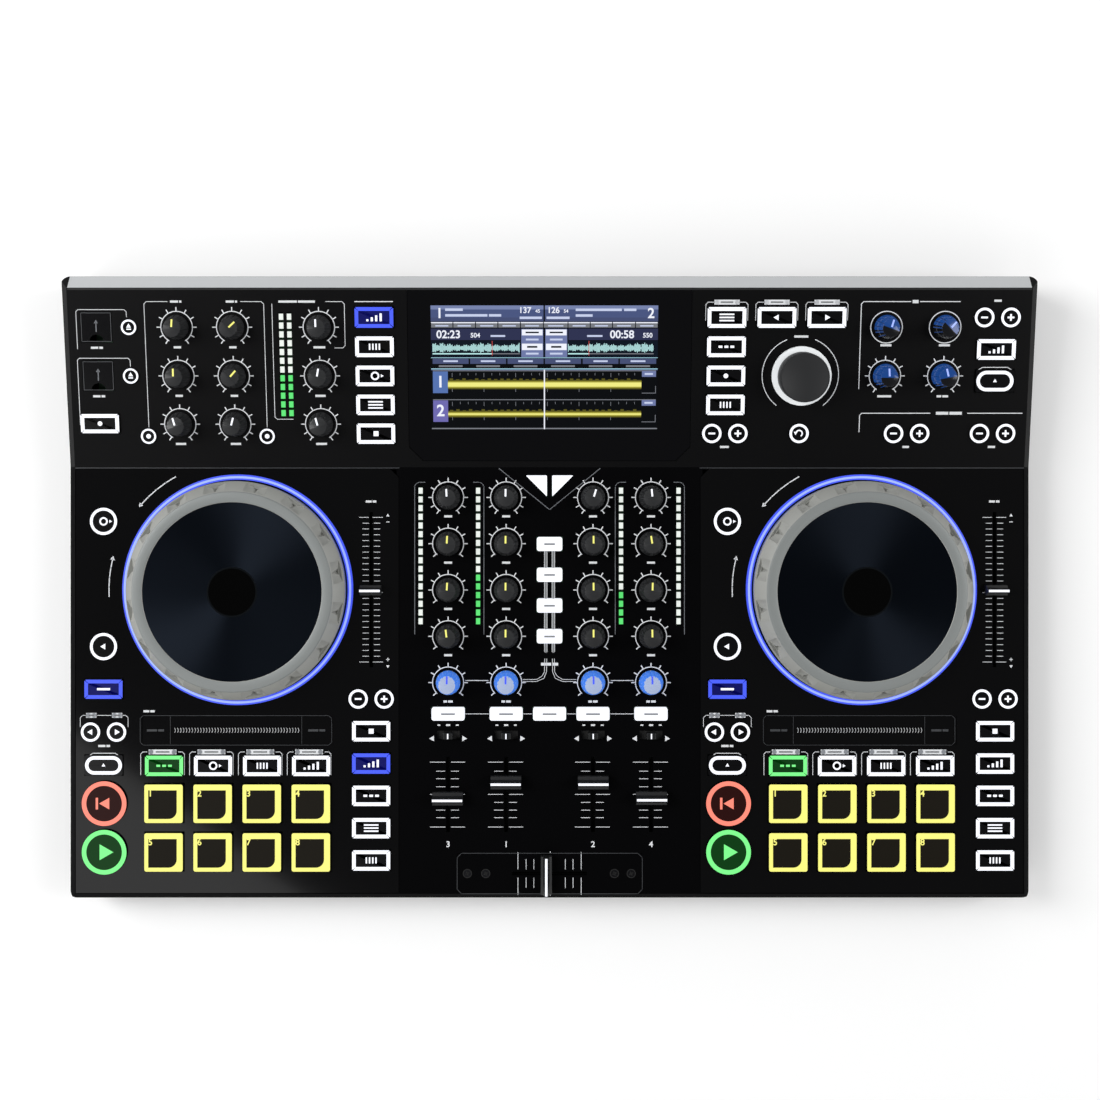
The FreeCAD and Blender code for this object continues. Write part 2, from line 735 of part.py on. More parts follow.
for name, x in (("a", "(-Size.meter_outer_x)"), ("b", "(-Size.meter_inner_x)"),
                ("c", "Size.meter_inner_x"), ("d", "Size.meter_outer_x")):
    level_cuts.append(box(f"meter_hole_{name}", "Size.meter_width + 2 * Size.seat_gap",
                          "Size.meter_length + 2 * Size.seat_gap", THROUGH, x, METER_Y, BELOW_TOP))
for name, x in (("1", "(-Size.master_meter_spacing / 2)"), ("2", "Size.master_meter_spacing / 2")):
    slope_cuts.append(box(f"master_meter_hole_{name}", "Size.meter_width + 2 * Size.seat_gap",
                          "Size.master_meter_length + 2 * Size.seat_gap", THROUGH,
                          f"Size.master_meter_x + {x}", "Size.master_meter_row", BELOW_SLOPE))
level_cuts.append(box("crossfader_recess", "Size.crossfader_plate_length + 2 * Size.seat_gap",
                      "Size.crossfader_plate_width + 2 * Size.seat_gap", "Size.case_wall", "0",
                      CROSSFADER_Y, "Size.deck_height - Size.crossfader_plate_thickness"))
level_cuts.append(fader_slot("crossfader_way", "Size.channel_travel", "0", CROSSFADER_Y, BELOW_TOP,
                             THROUGH, "x"))


def layer_corners(side, gap):
    """A layer button: a right-angled triangle with its square corner at the middle and rear."""
    inner = f"{side} * (Size.layer_button_spacing / 2 - {gap})"
    outer = f"{side} * (Size.layer_button_spacing / 2 + Size.layer_button_side + 2 * {gap})"
    rear = f"{LAYER_REAR_Y} + {gap}"
    tip = f"{LAYER_REAR_Y} - Size.layer_button_side - 2 * {gap}"
    return [(inner, rear), (outer, rear), (inner, tip)]


for side, sign in SIDES.items():
    level_cuts.append(plate(f"layer_hole_{side}", layer_corners(sign, "Size.button_gap"), THROUGH, BELOW_TOP))
for name, radius, x, y in ROUND_SLOPE_KEYS:
    slope_cuts.append(round_hole(name + "_hole", radius, x, y, BELOW_SLOPE, THROUGH))
for name, length, width, x, y in FLAT_SLOPE_KEYS:
    slope_cuts.append(key_hole(name + "_hole", length, width, x, y, BELOW_SLOPE, THROUGH))
for name, (x, y) in {**SLOPE_KNOBS, **MIC_KNOBS}.items():
    slope_cuts.append(round_hole(name + "_hole", "Size.shaft_radius", x, y, BELOW_SLOPE, THROUGH,
                                 "Size.shaft_hole_gap", "Size.hidden_sides"))
slope_cuts.append(round_hole("navigate_hole", "Size.navigate_shaft_radius", "Size.navigate_x",
                             "Size.navigate_row", BELOW_SLOPE, THROUGH, "Size.shaft_hole_gap", "Size.hidden_sides"))
HINGE_HEIGHT = "(-Size.usb_cover_thickness / 2)"
USB_ROWS = {"1": "Size.knob_row", "2": "(Size.knob_row - Size.knob_row_spacing)"}
for cover, y in USB_ROWS.items():
    hinge_y = f"({y} + Size.usb_cover_width / 2 - Size.usb_cover_thickness / 2)"
    slope_cuts.append(key_hole(f"usb_hole_{cover}", "Size.usb_cover_length", "Size.usb_cover_width",
                               "Size.usb_x", y, BELOW_SLOPE, THROUGH))
    pin_room = "(Size.usb_cover_length + 2 * Size.usb_pin_reach + 2 * Size.seat_gap)"
    slope_cuts.append(rod(f"usb_pin_hole_{cover}", "Size.usb_pin_radius + Size.usb_pin_gap", pin_room,
                          f"Size.usb_x - {pin_room} / 2", hinge_y, HINGE_HEIGHT, "x"))


def window_outline(gap):
    """The display window's corners, grown by a gap; its front corners are cut off."""
    side = f"Size.window_half_width + {gap}"
    low = f"Size.window_front - {gap}"
    high = f"Size.window_front + Size.window_length + {gap}"
    cheek = f"Size.window_front - {gap} + Size.window_corner"
    nose = f"Size.window_half_width + {gap} - Size.window_corner"
    return [(f"-({nose})", low), (nose, low), (side, cheek), (side, high), (f"-({side})", high),
            (f"-({side})", cheek)]


slope_cuts.append(plate("window_recess", window_outline("Size.seat_gap"),
                        "Size.window_thickness + Size.case_wall", "-Size.window_thickness"))
slope_cuts.append(box("screen_hole", "Size.screen_length", "Size.screen_width", THROUGH, "Size.screen_x",
                      "Size.screen_front + Size.screen_width / 2", BELOW_SLOPE))
node(group("top_set", [cut("level_panel", level_top, level_cuts),
                       cut("slope_panel", slope_top, [on_slope(group("slope_cuts", slope_cuts))])]),
     "top_panel")

# Walls of the case: two cheeks that turn the corners, and the front and the rear wall between them
walls = doc.addObject("PartDesign::Body", "walls")
wall_block = pad(walls, "wall_block", polygon(walls, "wall_profile", "YZ_Plane", [
    (FRONT_Y, TRAY_FLOOR), ("Size.case_depth / 2", TRAY_FLOOR),
    ("Size.case_depth / 2", f"{STRIP_FOOT} - {SKIRT}"), (REAR_EDGE_Y, f"{REAR_EDGE_Z} - {SKIRT}"),
    (FOLD_Y, LEDGE_UNDERSIDE), (FRONT_Y, LEDGE_UNDERSIDE)]), "Size.case_width", midplane=True)
walls.Tip = round_corners(walls, "wall_corners", wall_block)
wall_hollow = box("wall_hollow", "Size.case_width - 2 * Size.case_wall",
                  "Size.case_depth - 2 * Size.case_wall", "2 * Size.deck_height", "0", "0", "0")
wall_ring = cut("wall_ring", walls, [wall_hollow])


def stretch_of_wall(name, length, width, x, y):
    """The part of the walls that stands in a block of that plan."""
    piece = doc.addObject("Part::MultiCommon", name)
    piece.Shapes = [wall_ring, box(name + "_room", length, width, "2 * Size.deck_height", x, y, "0")]
    return piece


CHEEK = "(Size.corner_radius + Size.case_wall)"
cheeks = []
for side, sign in SIDES.items():
    cheeks.append(stretch_of_wall(f"cheek_{side}", f"2 * {CHEEK}", "2 * Size.case_depth",
                                  f"{sign} * Size.case_width / 2", "0"))
# The two headphone jacks sit in a panel of their own, which closes the front wall up to the left cheek
CHEEK_X = f"(Size.case_width / 2 - {CHEEK})"
JACK_PANEL_END = "(Size.phones_x + Size.small_jack_spacing + 2 * Size.jack_shell_radius)"
jack_panel = stretch_of_wall("jack_strip", f"{JACK_PANEL_END} + {CHEEK_X}", "2 * Size.case_wall",
                             f"({JACK_PANEL_END} - {CHEEK_X}) / 2", FRONT_Y)
front_wall = stretch_of_wall("front_strip", f"{CHEEK_X} - {JACK_PANEL_END}", "2 * Size.case_wall",
                             f"({CHEEK_X} + {JACK_PANEL_END}) / 2", FRONT_Y)
rear_wall = stretch_of_wall("rear_strip", f"Size.case_width - 2 * {CHEEK}", "2 * Size.case_wall", "0",
                            "Size.case_depth / 2")
rear_hole = box("rear_hole", "Size.rear_window_length", "3 * Size.case_wall", "Size.rear_window_height",
                "0", "Size.case_depth / 2", "Size.rear_window_bottom")
jack_holes = []
for name, radius, x in (("phones", "Size.jack_shell_radius", "Size.phones_x"),
                        ("small_phones", "Size.small_jack_shell_radius",
                         "(Size.phones_x + Size.small_jack_spacing)")):
    jack_holes.append(rod(name + "_hole", f"{radius} + Size.seat_gap", "3 * Size.case_wall", x,
                          f"{FRONT_Y} - Size.case_wall", "Size.phones_height", "y", "Size.small_sides"))

# Case screws come up through the floor into pillars under the top: four at the corners, two in front
SIDE_X = "(Size.case_width / 2 - Size.screw_from_side)"
FRONT_SCREW_Y = f"({FRONT_Y} + Size.screw_from_front)"
MIDDLE_SCREW_Y = f"({FRONT_Y} + Size.middle_screw_from_front)"
REAR_SCREW_Y = "(Size.case_depth / 2 - Size.screw_from_rear)"
REAR_PILLAR_TOP = (f"({REAR_EDGE_Z} - Size.case_wall / cos(Size.tilt_angle) - "
                   f"({REAR_EDGE_Y} - {REAR_SCREW_Y} + Size.pillar_radius) * tan(Size.tilt_angle))")
SCREWS = [
    ("front_left", f"(-{SIDE_X})", FRONT_SCREW_Y, DECK_UNDERSIDE),
    ("front_right", SIDE_X, FRONT_SCREW_Y, DECK_UNDERSIDE),
    ("middle_left", "(-Size.screw_middle_x)", MIDDLE_SCREW_Y, TOP_UNDERSIDE),
    ("middle_right", "Size.screw_middle_x", MIDDLE_SCREW_Y, TOP_UNDERSIDE),
    ("rear_left", f"(-{SIDE_X})", REAR_SCREW_Y, REAR_PILLAR_TOP),
    ("rear_right", SIDE_X, REAR_SCREW_Y, REAR_PILLAR_TOP),
]


def screw_way(name, x, y):
    """The hole that a case screw passes through, from under the case up to the end of its shank."""
    return post(name, "Size.screw_shank_radius + Size.screw_hole_gap",
                "Size.feet_height + Size.screw_length + Size.seat_gap", x, y, "0")


screws = []
screw_holes = []
for name, x, y, top in SCREWS:
    screw_holes.append(screw_way(f"floor_screw_{name}", x, y))
    head = post(f"screw_head_{name}", "Size.screw_head_radius", "Size.screw_head_height", x, y,
                "Size.feet_height - Size.screw_head_height")
    shank = post(f"screw_shank_{name}", "Size.screw_shank_radius", "Size.screw_length", x, y,
                 "Size.feet_height")
    screws.append(fuse(f"screw_{name}", [head, shank]))
    pillar = post(f"pillar_{name}", "Size.pillar_radius", f"{top} - {TRAY_FLOOR}", x, y, TRAY_FLOOR)
    screws.append(cut(f"pillar_bored_{name}", pillar, [screw_way(f"pillar_hole_{name}", x, y)]))
node(group("screw_set", screws), "case_screws")

# Floor of the case
floor = doc.addObject("PartDesign::Body", "floor")
HALF_WIDTH = "Size.case_width / 2"
HALF_DEPTH = "Size.case_depth / 2"
floor_block = pad(floor, "floor_block", polygon(floor, "floor_outline", "XY_Plane", [
    (f"-{HALF_WIDTH}", f"-{HALF_DEPTH}"), (HALF_WIDTH, f"-{HALF_DEPTH}"), (HALF_WIDTH, HALF_DEPTH),
    (f"-{HALF_WIDTH}", HALF_DEPTH)]), "Size.tray_floor")
floor.Tip = round_corners(floor, "floor_corners", floor_block)
put(floor, "0", "0", "Size.feet_height")
node(group("tray_set", [cut("floor_drilled", floor, screw_holes), cut("jack_panel", jack_panel, jack_holes),
                        front_wall, cut("rear_wall", rear_wall, [rear_hole])] + cheeks), "bottom_tray")

feet = []
for i, x in enumerate(("(-1)", "1")):
    for j, y in enumerate(("(-1)", "1")):
        feet.append(post(f"foot_{i}{j}", "Size.foot_radius", "Size.feet_height",
                         f"{x} * (Size.case_width / 2 - Size.foot_from_side)",
                         f"{y} * (Size.case_depth / 2 - Size.foot_from_end)", "0", SMALL))
node(group("feet_set", feet), "feet")

# Deck plates with their buttons, pads and touch strips
plates = []
pads = []
deck_keys = []
for side, sign in SIDES.items():
    sheet_metal = plate(f"deck_sheet_{side}", deck_outline(sign, "0"), "Size.deck_plate_thickness",
                        DECK_UNDERSIDE)
    below = f"({DECK_UNDERSIDE} - Size.deck_plate_thickness)"
    depth = "(3 * Size.deck_plate_thickness)"
    holes = [disc(f"jog_well_{side}", "Size.jog_radius + Size.ring_gap + Size.ring_width + Size.seat_gap",
                  depth, deck_x(sign, "0"), JOG_Y, below)]
    for name, radius, x, y, rise, sides in ROUND_DECK_KEYS:
        place = (deck_x(sign, x), deck_y(y))
        holes.append(round_hole(f"{name}_hole_{side}", radius, *place, below, depth, sides=sides))
        deck_keys.append(round_key(f"{name}_{side}", radius, *place, rise, DECK_UNDERSIDE, sides))
    for name, length, width, x, y in FLAT_DECK_KEYS:
        place = (deck_x(sign, x), deck_y(y))
        holes.append(key_hole(f"{name}_hole_{side}", length, width, *place, below, depth))
        deck_keys.append(key(f"{name}_{side}", length, width, *place, DECK, DECK_UNDERSIDE))
    for name, x, y in PADS:
        place = (deck_x(sign, x), deck_y(y))
        holes.append(key_hole(f"{name}_hole_{side}", "Size.pad_size", "Size.pad_size", *place, below, depth))
        pads.append(key(f"{name}_{side}", "Size.pad_size", "Size.pad_size", *place, DECK_PAD,
                        DECK_UNDERSIDE))
    holes.append(fader_slot(f"pitch_slot_{side}", "Size.pitch_travel", deck_x(sign, "Size.right_column"),
                            JOG_Y, below, depth, "y"))
    holes.append(box(f"strip_recess_{side}", "Size.strip_length", "Size.strip_width", depth,
                     deck_x(sign, "0"), deck_y("-Size.strip_row"), "Size.deck_height - Size.strip_depth"))
    plates.append(cut(f"deck_plate_{side}", sheet_metal, holes))
node(group("deck_plate_set", plates), "deck_plates")
node(group("pad_set", pads), "pads")
node(group("deck_key_set", deck_keys), "deck_buttons")

# Buttons of the mixer section and of the rear part
mixer_keys = []
for name, length, width, x, y in MIXER_KEYS:
    mixer_keys.append(key(name, length, width, x, y, DECK, TOP_UNDERSIDE))
FLANGE_TOP = f"({TOP_UNDERSIDE} - Size.seat_gap)"
for side, sign in SIDES.items():
    cap = plate(f"layer_cap_{side}", layer_corners(sign, "0"),
                f"Size.deck_height + Size.button_rise - {FLANGE_TOP}", FLANGE_TOP)
    flange = plate(f"layer_flange_{side}", layer_corners(sign, "Size.flange_width"), "Size.flange_height",
                   f"{FLANGE_TOP} - Size.flange_height")
    mixer_keys.append(fuse(f"layer_{side}", [cap, flange]))
node(group("mixer_key_set", mixer_keys), "mixer_buttons")
slope_keys = []
for name, radius, x, y in ROUND_SLOPE_KEYS:
    slope_keys.append(round_key(name, radius, x, y, SLOPE, SLOPE_UNDERSIDE, SMALL))
for name, length, width, x, y in FLAT_SLOPE_KEYS:
    slope_keys.append(key(name, length, width, x, y, SLOPE, SLOPE_UNDERSIDE))
node(on_slope(group("slope_key_set", slope_keys)), "panel_buttons")


# Shafts end just above the bodies of their controls
SHAFT_REACH = "(Size.case_wall - Size.seat_gap)"


def is_upright(face):
    return abs(face.normalAt(0, 0).z) < 0.1


def knob(name, x, y, z):
    """A fluted, tapered knob whose rear half slopes down to its pointer, on a serrated shaft."""
    grip = doc.addObject("PartDesign::Body", name + "_grip")
    flutes = int(value_of("Size.knob_flutes"))
    outline = []
    for i in range(flutes):
        angle = f"(360 * {i} / {flutes})"
        outline.append((f"Size.knob_radius * cos({angle})", f"Size.knob_radius * sin({angle})"))
    block = pad(grip, name + "_block", polygon(grip, name + "_outline", "XY_Plane", outline),
                "Size.knob_height")
    doc.recompute([block])
    flats = []
    foot = []
    for i, face in enumerate(block.Shape.Faces, start=1):
        if is_upright(face):
            flats.append(f"Face{i}")
        elif face.CenterOfMass.z < value_of("Size.knob_height / 2"):
            foot.append(f"Face{i}")
    taper = grip.newObject("PartDesign::Draft", name + "_taper")
    taper.Base = (block, flats)
    taper.NeutralPlane = (block, foot)
    taper.setExpression(
        "Angle", f"atan((Size.knob_radius - Size.knob_top_radius) * cos(180 / {flutes}) / Size.knob_height)"
    )
    put(grip, x, y, f"{z} + Size.knob_lift")
    slice_off = doc.addObject("Part::Box", name + "_slice")
    bind(slice_off, {"Length": "2 * Size.knob_radius", "Width": "2 * Size.knob_radius",
                     "Height": "Size.knob_radius"})
    turn(slice_off, (-1, 0, 0), "Size.knob_slope")
    put(slice_off, f"{x} - Size.knob_radius", y, f"{z} + Size.knob_lift + Size.knob_height")
    shaft = post(name + "_shaft", "Size.shaft_radius", f"{SHAFT_REACH} + Size.knob_lift", x, y,
                 f"{z} - {SHAFT_REACH}")
    return fuse(name, [cut(name + "_top", grip, [slice_off]), shaft])


for name, (x, y) in MIXER_KNOBS.items():
    node(knob(name + "_body", x, y, "Size.deck_height"), name)
for name, (x, y) in SLOPE_KNOBS.items():
    node(on_slope(knob(name + "_body", x, y, "0")), name)
mic_knobs = [knob(name, x, y, "0") for name, (x, y) in MIC_KNOBS.items()]
node(on_slope(group("mic_knob_set", mic_knobs)), "mic_knobs")

# Browser encoder: its shaft and skirt press down together, and the cap turns on the shaft
SKIRT_LIFT = "(Size.navigate_travel + Size.knob_lift)"
skirt = post("navigate_skirt", "Size.navigate_skirt_radius", "Size.navigate_skirt_height",
             "Size.navigate_x", "Size.navigate_row", SKIRT_LIFT, LARGE)
CAP_LIFT = f"({SKIRT_LIFT} + Size.navigate_skirt_height + Size.seat_gap)"
navigate_shaft = disc("navigate_rod", "Size.navigate_shaft_radius",
                      f"Size.navigate_depth + {CAP_LIFT} + Size.navigate_cap_height / 2", "Size.navigate_x",
                      "Size.navigate_row", "-Size.navigate_depth")
node(on_slope(fuse("navigate_stem", [skirt, navigate_shaft])), "navigate_shaft")
navigate_cap = post("navigate_cap", "Size.navigate_cap_radius", "Size.navigate_cap_height",
                    "Size.navigate_x", "Size.navigate_row", CAP_LIFT, LARGE)
navigate_bore = disc("navigate_bore", "Size.navigate_shaft_radius + Size.running_gap",
                     "Size.navigate_cap_height / 2 + Size.seat_gap", "Size.navigate_x",
                     "Size.navigate_row", CAP_LIFT)
node(on_slope(cut("navigate_top", navigate_cap, [navigate_bore])), "navigate_knob")


def jog_wheel(name, sign):
    """A wheel turned from one profile, with finger scallops cut round its sloping rim."""
    body = doc.addObject("PartDesign::Body", name)
    bore = "Size.spindle_radius + Size.running_gap"
    disc_height = "Size.jog_height - Size.jog_disc_depth"
    profile = polygon(body, name + "_profile", "XZ_Plane", [
        (bore, "Size.jog_floor_height"), ("Size.jog_radius", "Size.jog_floor_height"),
        ("Size.jog_radius", "Size.jog_wall_height"), ("Size.jog_lip_radius", "Size.jog_height"),
        ("Size.jog_disc_radius", "Size.jog_height"), ("Size.jog_disc_radius", disc_height),
        ("0", disc_height), ("0", "Size.jog_height - Size.jog_crown"),
        (bore, "Size.jog_height - Size.jog_crown")])
    wheel = body.newObject("PartDesign::Revolution", name + "_turned")
    wheel.Profile = profile
    wheel.ReferenceAxis = (profile, ["V_Axis"])
    wheel.Angle = 360
    rim_run = "(Size.jog_radius - Size.jog_lip_radius)"
    rim_rise = "(Size.jog_height - Size.jog_wall_height)"
    rim_length = f"sqrt({rim_run} * {rim_run} + {rim_rise} * {rim_rise})"
    shift_in = f"Size.scallop_depth * {rim_rise} / {rim_length}"
    shift_down = f"Size.scallop_depth * {rim_run} / {rim_length}"
    low = (f"Size.jog_radius - {shift_in} + {rim_run} / 4",
           f"Size.jog_wall_height - {shift_down} - {rim_rise} / 4")
    high = (f"Size.jog_lip_radius - {shift_in} + {rim_run} / 8",
            f"Size.jog_height - {shift_down} - {rim_rise} / 8")
    far = "Size.jog_radius + Size.ring_width"
    cutter = polygon(body, name + "_scallop", "XZ_Plane", [
        low, high, (f"{high[0]} + {rim_run}", f"{high[1]} + {rim_rise}"), (far, low[1])])
    scallop = body.newObject("PartDesign::Pocket", name + "_scallop_cut")
    scallop.Profile = cutter
    scallop.Midplane = True
    scallop.setExpression("Length", "Size.scallop_width")
    scallops = body.newObject("PartDesign::PolarPattern", name + "_scallops")
    scallops.Originals = [scallop]
    scallops.Axis = (profile, ["V_Axis"])
    scallops.Angle = 360
    scallops.setExpression("Occurrences", "Size.scallop_count")
    body.Tip = scallops
    put(body, f"{sign} * {JOG_X}", JOG_Y, "0")
    return body


for side, sign in SIDES.items():
    node(jog_wheel(f"jog_{side}_body", sign), f"jog_wheel_{side}")

# Light guides: the blue rings round the jog wheels and the bars of the level meters
guides = []
for side, sign in SIDES.items():
    foot = "Size.deck_height + Size.ring_rise - Size.ring_height"
    outer_ring = disc(f"ring_outer_{side}", "Size.jog_radius + Size.ring_gap + Size.ring_width",
                      "Size.ring_height", f"{sign} * {JOG_X}", JOG_Y, foot)
    inner_ring = disc(f"ring_inner_{side}", "Size.jog_radius + Size.ring_gap", "Size.ring_height",
                      f"{sign} * {JOG_X}", JOG_Y, foot)
    guides.append(cut(f"light_ring_{side}", outer_ring, [inner_ring]))
METER_FOOT = "Size.deck_height - Size.meter_height"
for name, x in (("a", "(-Size.meter_outer_x)"), ("b", "(-Size.meter_inner_x)"),
                ("c", "Size.meter_inner_x"), ("d", "Size.meter_outer_x")):
    guides.append(box(f"meter_{name}", "Size.meter_width", "Size.meter_length", "Size.meter_height", x,
                      METER_Y, METER_FOOT))
master_bars = []
for name, x in (("1", "(-Size.master_meter_spacing / 2)"), ("2", "Size.master_meter_spacing / 2")):
    master_bars.append(box(f"master_meter_{name}", "Size.meter_width", "Size.master_meter_length",
                           "Size.meter_height", f"Size.master_meter_x + {x}", "Size.master_meter_row",
                           "-Size.meter_height"))
guides.append(on_slope(group("master_meter", master_bars)))
node(group("guide_set", guides), "light_guides")


def fader(name, length, width, rest, x, y, top, along):
    """A fader: a ridged cap on a flat stem. It slides along "x" or "y"; the cap lies across."""
    body = doc.addObject("PartDesign::Body", name + "_cap")
    foot = f"{top} + Size.fader_cap_gap"
    shoulder = f"{foot} + Size.fader_cap_shoulder"
    crown = f"{foot} + Size.fader_cap_height"
    half = f"{width} / 2"
    ridge = "Size.fader_cap_ridge / 2"
    waist = f"({width} / 2 + Size.fader_cap_ridge) / 3"
    role = "YZ_Plane" if along == "y" else "XZ_Plane"
    profile = polygon(body, name + "_profile", role, [
        (f"-{half}", foot), (half, foot), (half, shoulder), (waist, f"{shoulder} + Size.fader_cap_ridge / 2"),
        (ridge, crown), (f"-{ridge}", crown), (f"-({waist})", f"{shoulder} + Size.fader_cap_ridge / 2"),
        (f"-{half}", shoulder)])
    pad(body, name + "_pad", profile, length, midplane=True)
    at_x = f"{x} + {rest}" if along == "x" else x
    at_y = f"{y} + {rest}" if along == "y" else y
    put(body, at_x, at_y, "0")
    stem_size = ["Size.fader_stem_width", "Size.fader_stem_length"]
    if along == "x":
        stem_size.reverse()
    stem_foot = f"{TOP_UNDERSIDE} - Size.fader_stem_depth"
    stem = box(name + "_stem", *stem_size, f"{foot} - ({stem_foot})", at_x, at_y, stem_foot)
    return fuse(name + "_body", [body, stem])


for channel, x in CHANNELS.items():
    node(fader(f"fader_{channel}", "Size.channel_cap_length", "Size.channel_cap_width",
               f"Size.channel_{channel}_rest", x, CHANNEL_FADER_Y, "Size.deck_height", "y"),
         f"channel_fader_{channel}")
node(fader("cross", "Size.crossfader_cap_length", "Size.crossfader_cap_width", "Size.crossfader_rest", "0",
           CROSSFADER_Y, "Size.deck_height", "x"), "crossfader")
for side, sign in SIDES.items():
    node(fader(f"pitch_{side}", "Size.pitch_cap_length", "Size.pitch_cap_width", "0",
               deck_x(sign, "Size.right_column"), JOG_Y, "Size.deck_height", "y"),
         f"pitch_fader_{side}")
cross_plate = box("cross_plate", "Size.crossfader_plate_length", "Size.crossfader_plate_width",
                  "Size.crossfader_plate_thickness", "0", CROSSFADER_Y,
                  "Size.deck_height - Size.crossfader_plate_thickness")
cross_slot = fader_slot("cross_slot", "Size.channel_travel", "0", CROSSFADER_Y, BELOW_TOP, THROUGH, "x")
node(cut("cross_cover", cross_plate, [cross_slot]), "crossfader_plate")

# Crossfader assign switches: a small lever on a flat slider
levers = []
for channel, x in CHANNELS.items():
    slider_top = f"({TOP_UNDERSIDE} - Size.seat_gap)"
    slider = box(f"assign_slider_{channel}", "Size.assign_length + 2 * Size.assign_travel",
                 "Size.assign_width + 2 * Size.flange_width", "Size.flange_height", x, ASSIGN_Y,
                 f"{slider_top} - Size.flange_height")
    lever = box(f"assign_lever_{channel}", "Size.assign_lever_length", "Size.assign_lever_width",
                f"Size.deck_height + Size.assign_lever_rise - {slider_top}", x, ASSIGN_Y, slider_top)
    levers.append(fuse(f"assign_{channel}", [slider, lever]))
node(group("assign_set", levers), "assign_switches")

# Flip covers over the two memory stick sockets, hinged at their rear edge
for cover, y in USB_ROWS.items():
    hinge_y = f"({y} + Size.usb_cover_width / 2 - Size.usb_cover_thickness / 2)"
    leaf_front = f"({y} - Size.usb_cover_width / 2)"
    leaf = box(f"usb_leaf_{cover}", "Size.usb_cover_length", f"{hinge_y} - {leaf_front}",
               "Size.usb_cover_thickness", "Size.usb_x", f"({hinge_y} + {leaf_front}) / 2",
               "-Size.usb_cover_thickness")
    barrel = rod(f"usb_barrel_{cover}", "Size.usb_cover_thickness / 2", "Size.usb_cover_length",
                 "Size.usb_x - Size.usb_cover_length / 2", hinge_y, HINGE_HEIGHT, "x")
    pin_length = "(Size.usb_cover_length + 2 * Size.usb_pin_reach)"
    pin = rod(f"usb_pin_{cover}", "Size.usb_pin_radius", pin_length, f"Size.usb_x - {pin_length} / 2",
              hinge_y, HINGE_HEIGHT, "x")
    notch = post(f"usb_notch_{cover}", "Size.usb_cover_length / 4", THROUGH, "Size.usb_x", leaf_front,
                 BELOW_SLOPE, SMALL)
    cover_name = {"1": "usb_cover_upper", "2": "usb_cover_lower"}[cover]
    node(on_slope(cut(f"usb_cover_{cover}", fuse(f"usb_hinged_{cover}", [leaf, barrel, pin]), [notch])),
         cover_name)

# Display: a glass-clear window over the module
window = plate("window_glass", window_outline("0"), "Size.window_thickness", "-Size.window_thickness")
node(on_slope(group("window_set", [window])), "display_window")
module = box("module_block", "Size.screen_length + 2 * Size.module_margin",
             "Size.screen_width + 2 * Size.module_margin", "Size.module_height", "Size.screen_x",
             "Size.screen_front + Size.screen_width / 2", "-Size.case_wall - Size.module_height")
node(on_slope(group("module_set", [module])), "display_module")


def open_can(name, length, width, height, well_length, well_width, x, y, top):
    """A control's body: a block with a well open at the top, for a shaft or stem."""
    foot = f"{top} - ({height})"
    block = box(name + "_block", length, width, height, x, y, foot)
    well = box(name + "_well", well_length, well_width, height, x, y, f"{foot} + Size.board_thickness")
    return cut(name, block, [well])


# Bodies of the controls, under the panels, and the spindles that carry the jog wheels
def pot(name, x, y, top):
    return box(name + "_pot", "Size.pot_size", "Size.pot_size", "Size.pot_height", x, y,
               f"{top} - Size.pot_height")


cans = [pot(name, x, y, TOP_UNDERSIDE) for name, (x, y) in MIXER_KNOBS.items()]
slope_cans = [pot(name, x, y, SLOPE_UNDERSIDE) for name, (x, y) in {**SLOPE_KNOBS, **MIC_KNOBS}.items()]
slope_cans.append(open_can("navigate_encoder", "Size.pot_size", "Size.pot_size", "Size.pot_height",
                           "Size.navigate_well", "Size.navigate_well", "Size.navigate_x",
                           "Size.navigate_row", SLOPE_UNDERSIDE))
cans.append(on_slope(group("slope_cans", slope_cans)))
STEM_WELL = "(Size.fader_slot_width + 2 * Size.seat_gap)"
for channel, x in CHANNELS.items():
    run = "(Size.channel_travel + Size.fader_stem_length + 2 * Size.fader_end_room)"
    cans.append(open_can(f"channel_can_{channel}", "Size.fader_body_width", f"{run} + 2 * Size.fader_body_end",
                         "Size.fader_body_height", STEM_WELL, run, x, CHANNEL_FADER_Y,
                         TOP_UNDERSIDE))
cans.append(open_can("cross_can", f"{run} + 2 * Size.fader_body_end", "Size.fader_body_width",
                     "Size.fader_body_height", run, STEM_WELL, "0", CROSSFADER_Y, TOP_UNDERSIDE))
for side, sign in SIDES.items():
    long_run = "(Size.pitch_travel + Size.fader_stem_length + 2 * Size.fader_end_room)"
    cans.append(open_can(f"pitch_can_{side}", "Size.fader_body_width",
                         f"{long_run} + 2 * Size.fader_body_end", f"({DECK_UNDERSIDE} - {BOARD_TOP})",
                         STEM_WELL, long_run, deck_x(sign, "Size.right_column"), JOG_Y,
                         DECK_UNDERSIDE))
    cans.append(disc(f"spindle_{side}", "Size.spindle_radius",
                     f"Size.jog_height - Size.jog_crown - Size.seat_gap - ({BOARD_TOP})",
                     f"{sign} * {JOG_X}", JOG_Y, BOARD_TOP))
node(group("can_set", cans), "control_bodies")

